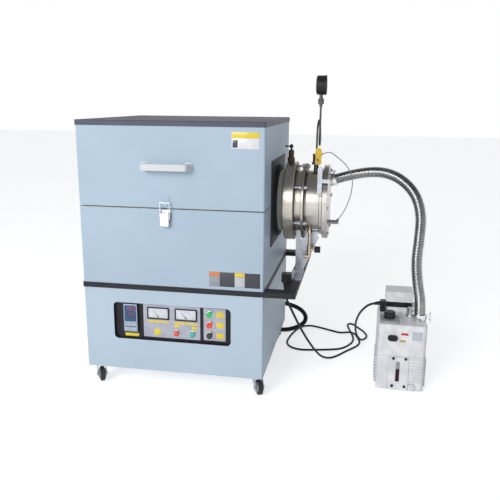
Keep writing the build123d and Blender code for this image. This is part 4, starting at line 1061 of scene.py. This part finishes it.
def dome(name, x, y, z, radius, bulge, collar):
    """A dome that bulges towards the front, with a straight collar behind it."""
    centre = (x, y, z)
    piece = cut_ball(name, centre, radius, 32, (math.pi / 2, 0, 0), centre, (0, 1, 0), clear_outer=True)
    flat = Matrix.Scale(bulge / radius, 4, (0, 1, 0))
    piece.data.transform(Matrix.Translation(mm(x, y, z)) @ flat @ Matrix.Translation(-mm(x, y, z)))
    edit()
    pick(piece, "edges", lambda edge: edge.is_boundary)
    bpy.ops.mesh.extrude_region_move(TRANSFORM_OT_translate={"value": (0, collar / 1000, 0)})
    bpy.ops.mesh.edge_face_add()
    bpy.ops.mesh.select_all(action="SELECT")
    bpy.ops.mesh.normals_make_consistent(inside=False)
    leave()
    return piece


def lens(name, colour):
    """Coloured lens plastic with a polished coat and faint ribs."""
    finish = Finish(name, colour, 0.12, Coat_Weight=1.0, Coat_Roughness=0.04)
    ribs = finish.noise(260, 1)
    finish.tint(ribs, shade(colour, 0.8), shade(colour, 1.25, 0.01))
    finish.link("Roughness", 0.1 + ribs * 0.08)
    finish.bump(ribs, 0.00005, 0.4)
    return finish


red_lens = lens("red lens", (0.74, 0.05, 0.02))
teal_lens = lens("teal lens", (0.01, 0.42, 0.34))
lamp_z = 198.75
lamps = (("lamp_red", 11.8, red_lens, "red_plastic"), ("lamp_teal", 66.2, teal_lens, "green_plastic"))
for name, x, finish, slot in lamps:
    ring = rod(name + "_ring", (x, -284.4, lamp_z), (x, -287.6, lamp_z), 11.8, 0.9)
    settle(ring, chrome)
    settle(dome(name, x, -287.4, lamp_z, 10.6, 7.4, 0.6), finish)
print("lamps ready")

# %% [markdown]
# Foils on the lid and on the fixed half are plain fields of colour, with no words or signs on them.

# %% Foils on the casing
front_y = -295
lid_fields = [
    ("back", (197, 283), (802, 853), 0.0, pale_ink),
    ("head", (198, 282), (835, 852), 0.12, yellow_ink),
    ("field", (198, 282), (803, 834), 0.12, white_ink),
    ("mark", (200.5, 216), (806.5, 829), 0.2, dark_ink),
]
shell_fields = [
    ("back", (126, 289), (371, 419), 0.0, dark_ink),
    ("head_a", (126.6, 160), (405.5, 418.4), 0.12, orange_ink),
    ("field_a", (126.6, 160), (371.6, 405), 0.12, grey_ink),
    ("head_b", (208, 240), (405.5, 418.4), 0.12, yellow_ink),
    ("field_b", (208, 240), (371.6, 405), 0.12, pale_ink),
]
for stem, fields, body in (("lid_foil_", lid_fields, "lid"), ("shell_foil_", shell_fields, "cabinet")):
    for name, x, z, lift, finish in fields:
        y = (front_y - 0.35 - lift, front_y + 0.1)
        plate(stem + name, x, y, z, 0.15, finish, body)
print("casing foils ready")

# %% [markdown]
# The gauge's dial has a fan of ticks over 270 degrees with numbers, and a domed glass in the black rim.

# %% Gauge dial
gauge_z, dial_x = 995, 449
card = rod("gauge_card", (dial_x - 0.1, 0, gauge_z), (dial_x + 0.5, 0, gauge_z), 28.7, 0.1, 48)
settle(card, card_ink)
fan(
    "gauge_tick", 31, (4.2, 0.6), (2.4, 0.3),
    lambda thick: ((dial_x + 0.4, dial_x + 0.75), (-thick / 2, thick / 2)),
    gauge_z + 26.5, 0.06, "X", 135, -9, (0, gauge_z),
)
for index in range(7):
    lean_angle = math.radians(135 - 45 * index)
    number = written(
        f"gauge_number_{index}", str(index * 2), dial_x + 0.6, -18.5 * math.sin(lean_angle),
        gauge_z + 18.5 * math.cos(lean_angle), 3.6, turn=(math.pi / 2, 0, math.pi / 2),
    )
    settle(number, dark_ink)
dome_r = 90
gauge_glass = cut_ball(
    "gauge_glass", (dial_x + 6.2 - dome_r, 0, gauge_z), dome_r, 48, (0, math.pi / 2, 0),
    (dial_x + 1.5, 0, gauge_z), (1, 0, 0), clear_inner=True,
)
wall = gauge_glass.modifiers.new("thickness", "SOLIDIFY")
wall.thickness = 0.0006
apply_modifiers(gauge_glass)
settle(gauge_glass, clear_glass)
print("gauge ready")

# %% [markdown]
# The pump's front has oil with air over it in the slot of the sight window, a thin edge round the window,
# cooling fins at the right, faint ribs at the left, plain colour fields, a grey field of painted shade on the
# embossed plate, and a washer under the drain plug.

# %% Oil and colour fields of the pump
oil_x, oil_top, oil_back = (727, 739), 82, -161.3
plate("pump_oil", oil_x, (-162.6, oil_back), (37, oil_top), 0.4, oil_glass)
plate("pump_oil_air", oil_x, (-162.5, oil_back), (oil_top, 107), 0.4, grey_ink)
for name, x, z, y, finish in (
    ("pump_field_red", (737, 760), (200, 208), -160.4, red_ink),
    ("pump_field_yellow", (734, 753), (176, 183), -160.4, ochre_ink),
    # the grey field on the white embossed plate is painted shade of its relief
    ("pump_emboss_shade_field", (773, 805), (185, 215), -161.9, pale_ink),
):
    plate(name, x, (y, y + 0.6), z, 0.15, finish)
edges = (
    ("left", (701.1, 702.4), (8, 124)), ("right", (767.6, 768.9), (8, 124)),
    ("top", (702, 768), (123.6, 124.9)),
)
rims = [slab("window_edge_" + side, x, (-161, -159.8), z, 0.3, 1) for side, x, z in edges]
settle(joined("window_edges", rims), grey_ink)
print("pump fields ready")

# %% Fins, ribs and the drain plug
fin = slab("pump_fin_0", (775, 814), (-163.3, -159.6), (40, 45), 1.8, 3)
rib = slab("pump_rib_0", (669, 698), (-160.8, -159.6), (40, 43.4), 0.8, 3)
fin_pitch = 10.5
for first, name in ((fin, "pump_fin"), (rib, "pump_rib")):
    row = [first] + [copy_of(first, f"{name}_{index}", (0, 0, fin_pitch * index)) for index in range(1, 9)]
    settle(joined(name + "s", row), white_paint)
settle(rod("drain_washer", (781, -159.8, 18), (781, -161.2, 18), 13.4, 0.4, 40), grey_ink)
print("pump front ready")

# %% [markdown]
# ## Floor and light
#
# The world gives an even light from all sides, one large lamp from the front left models the shapes, and a
# weaker one fills the right side. The camera, metal and glass see a white world with a darker ceiling and a
# floor that glows a little. The Light Path node tells their rays from those that light the object.

# %% World and lamps
bpy.context.scene.view_settings.view_transform = "Standard"
world = bpy.data.worlds.new("studio")
bpy.context.scene.world = world
world.use_nodes = True
studio = world.node_tree
studio.nodes.clear()


def seen_rays(tree):
    """1 for the rays that show the studio to the camera, straight or through metal and glass."""
    rays = Wire.node(tree, "LightPath")
    mirrored = rays.out("Is Camera Ray").maximum(rays.out("Is Glossy Ray"))
    return mirrored.maximum(rays.out("Is Transmission Ray"))


seen = seen_rays(studio)
soft = Wire.node(studio, "Background", {"Color": (0.93, 0.96, 1.0, 1), "Strength": 0.33})
heading = Wire.node(studio, "TexCoord").out("Generated")
height = Wire.node(studio, "SeparateXYZ", {0: heading}).out("Z")
ceiling = 1 - height.step(0.30, 0.70) * 0.8
white = Wire.node(studio, "Background", {"Color": (1, 1, 1, 1), "Strength": ceiling})
sky = Wire.node(studio, "MixShader", {0: seen, 1: soft, 2: white})
Wire.node(studio, "OutputWorld", {"Surface": sky})


def lamp(name, place, target, size, energy, colour=(1, 1, 1)):
    """A square area lamp that faces a target."""
    data = bpy.data.lights.new(name, "AREA")
    data.size = size
    data.energy = energy
    data.color = colour
    item = show(name, data)
    item.location = Vector(place)
    item.rotation_euler = (Vector(target) - Vector(place)).to_track_quat("-Z", "Y").to_euler()


lamp("key", (-1.5, -4.3, 2.2), (0.1, 0, 0.4), 2.4, 134)
lamp("fill", (3.4, -1.2, 1.8), (0.3, 0, 0.4), 2.5, 3, (0.92, 0.94, 1.0))
print(len(bpy.data.lights), "lamps")

# %% Floor
fresh()
bpy.ops.mesh.primitive_plane_add(size=24, location=(0, 4, -0.0005))
floor = bpy.context.object
floor.name = "studio_floor"
ground = Finish("studio floor", (0.86, 0.86, 0.86), 0.8)
glow = ground.add("Emission", {"Color": (1, 1, 1, 1), "Strength": 0.62})
lit_floor = ground.add("AddShader", {0: ground.shader, 1: glow})
floor_mix = {0: seen_rays(ground.tree), 1: ground.shader, 2: lit_floor}
ground.surface(ground.add("MixShader", floor_mix))
ground.dress(floor)
print("floor ready")
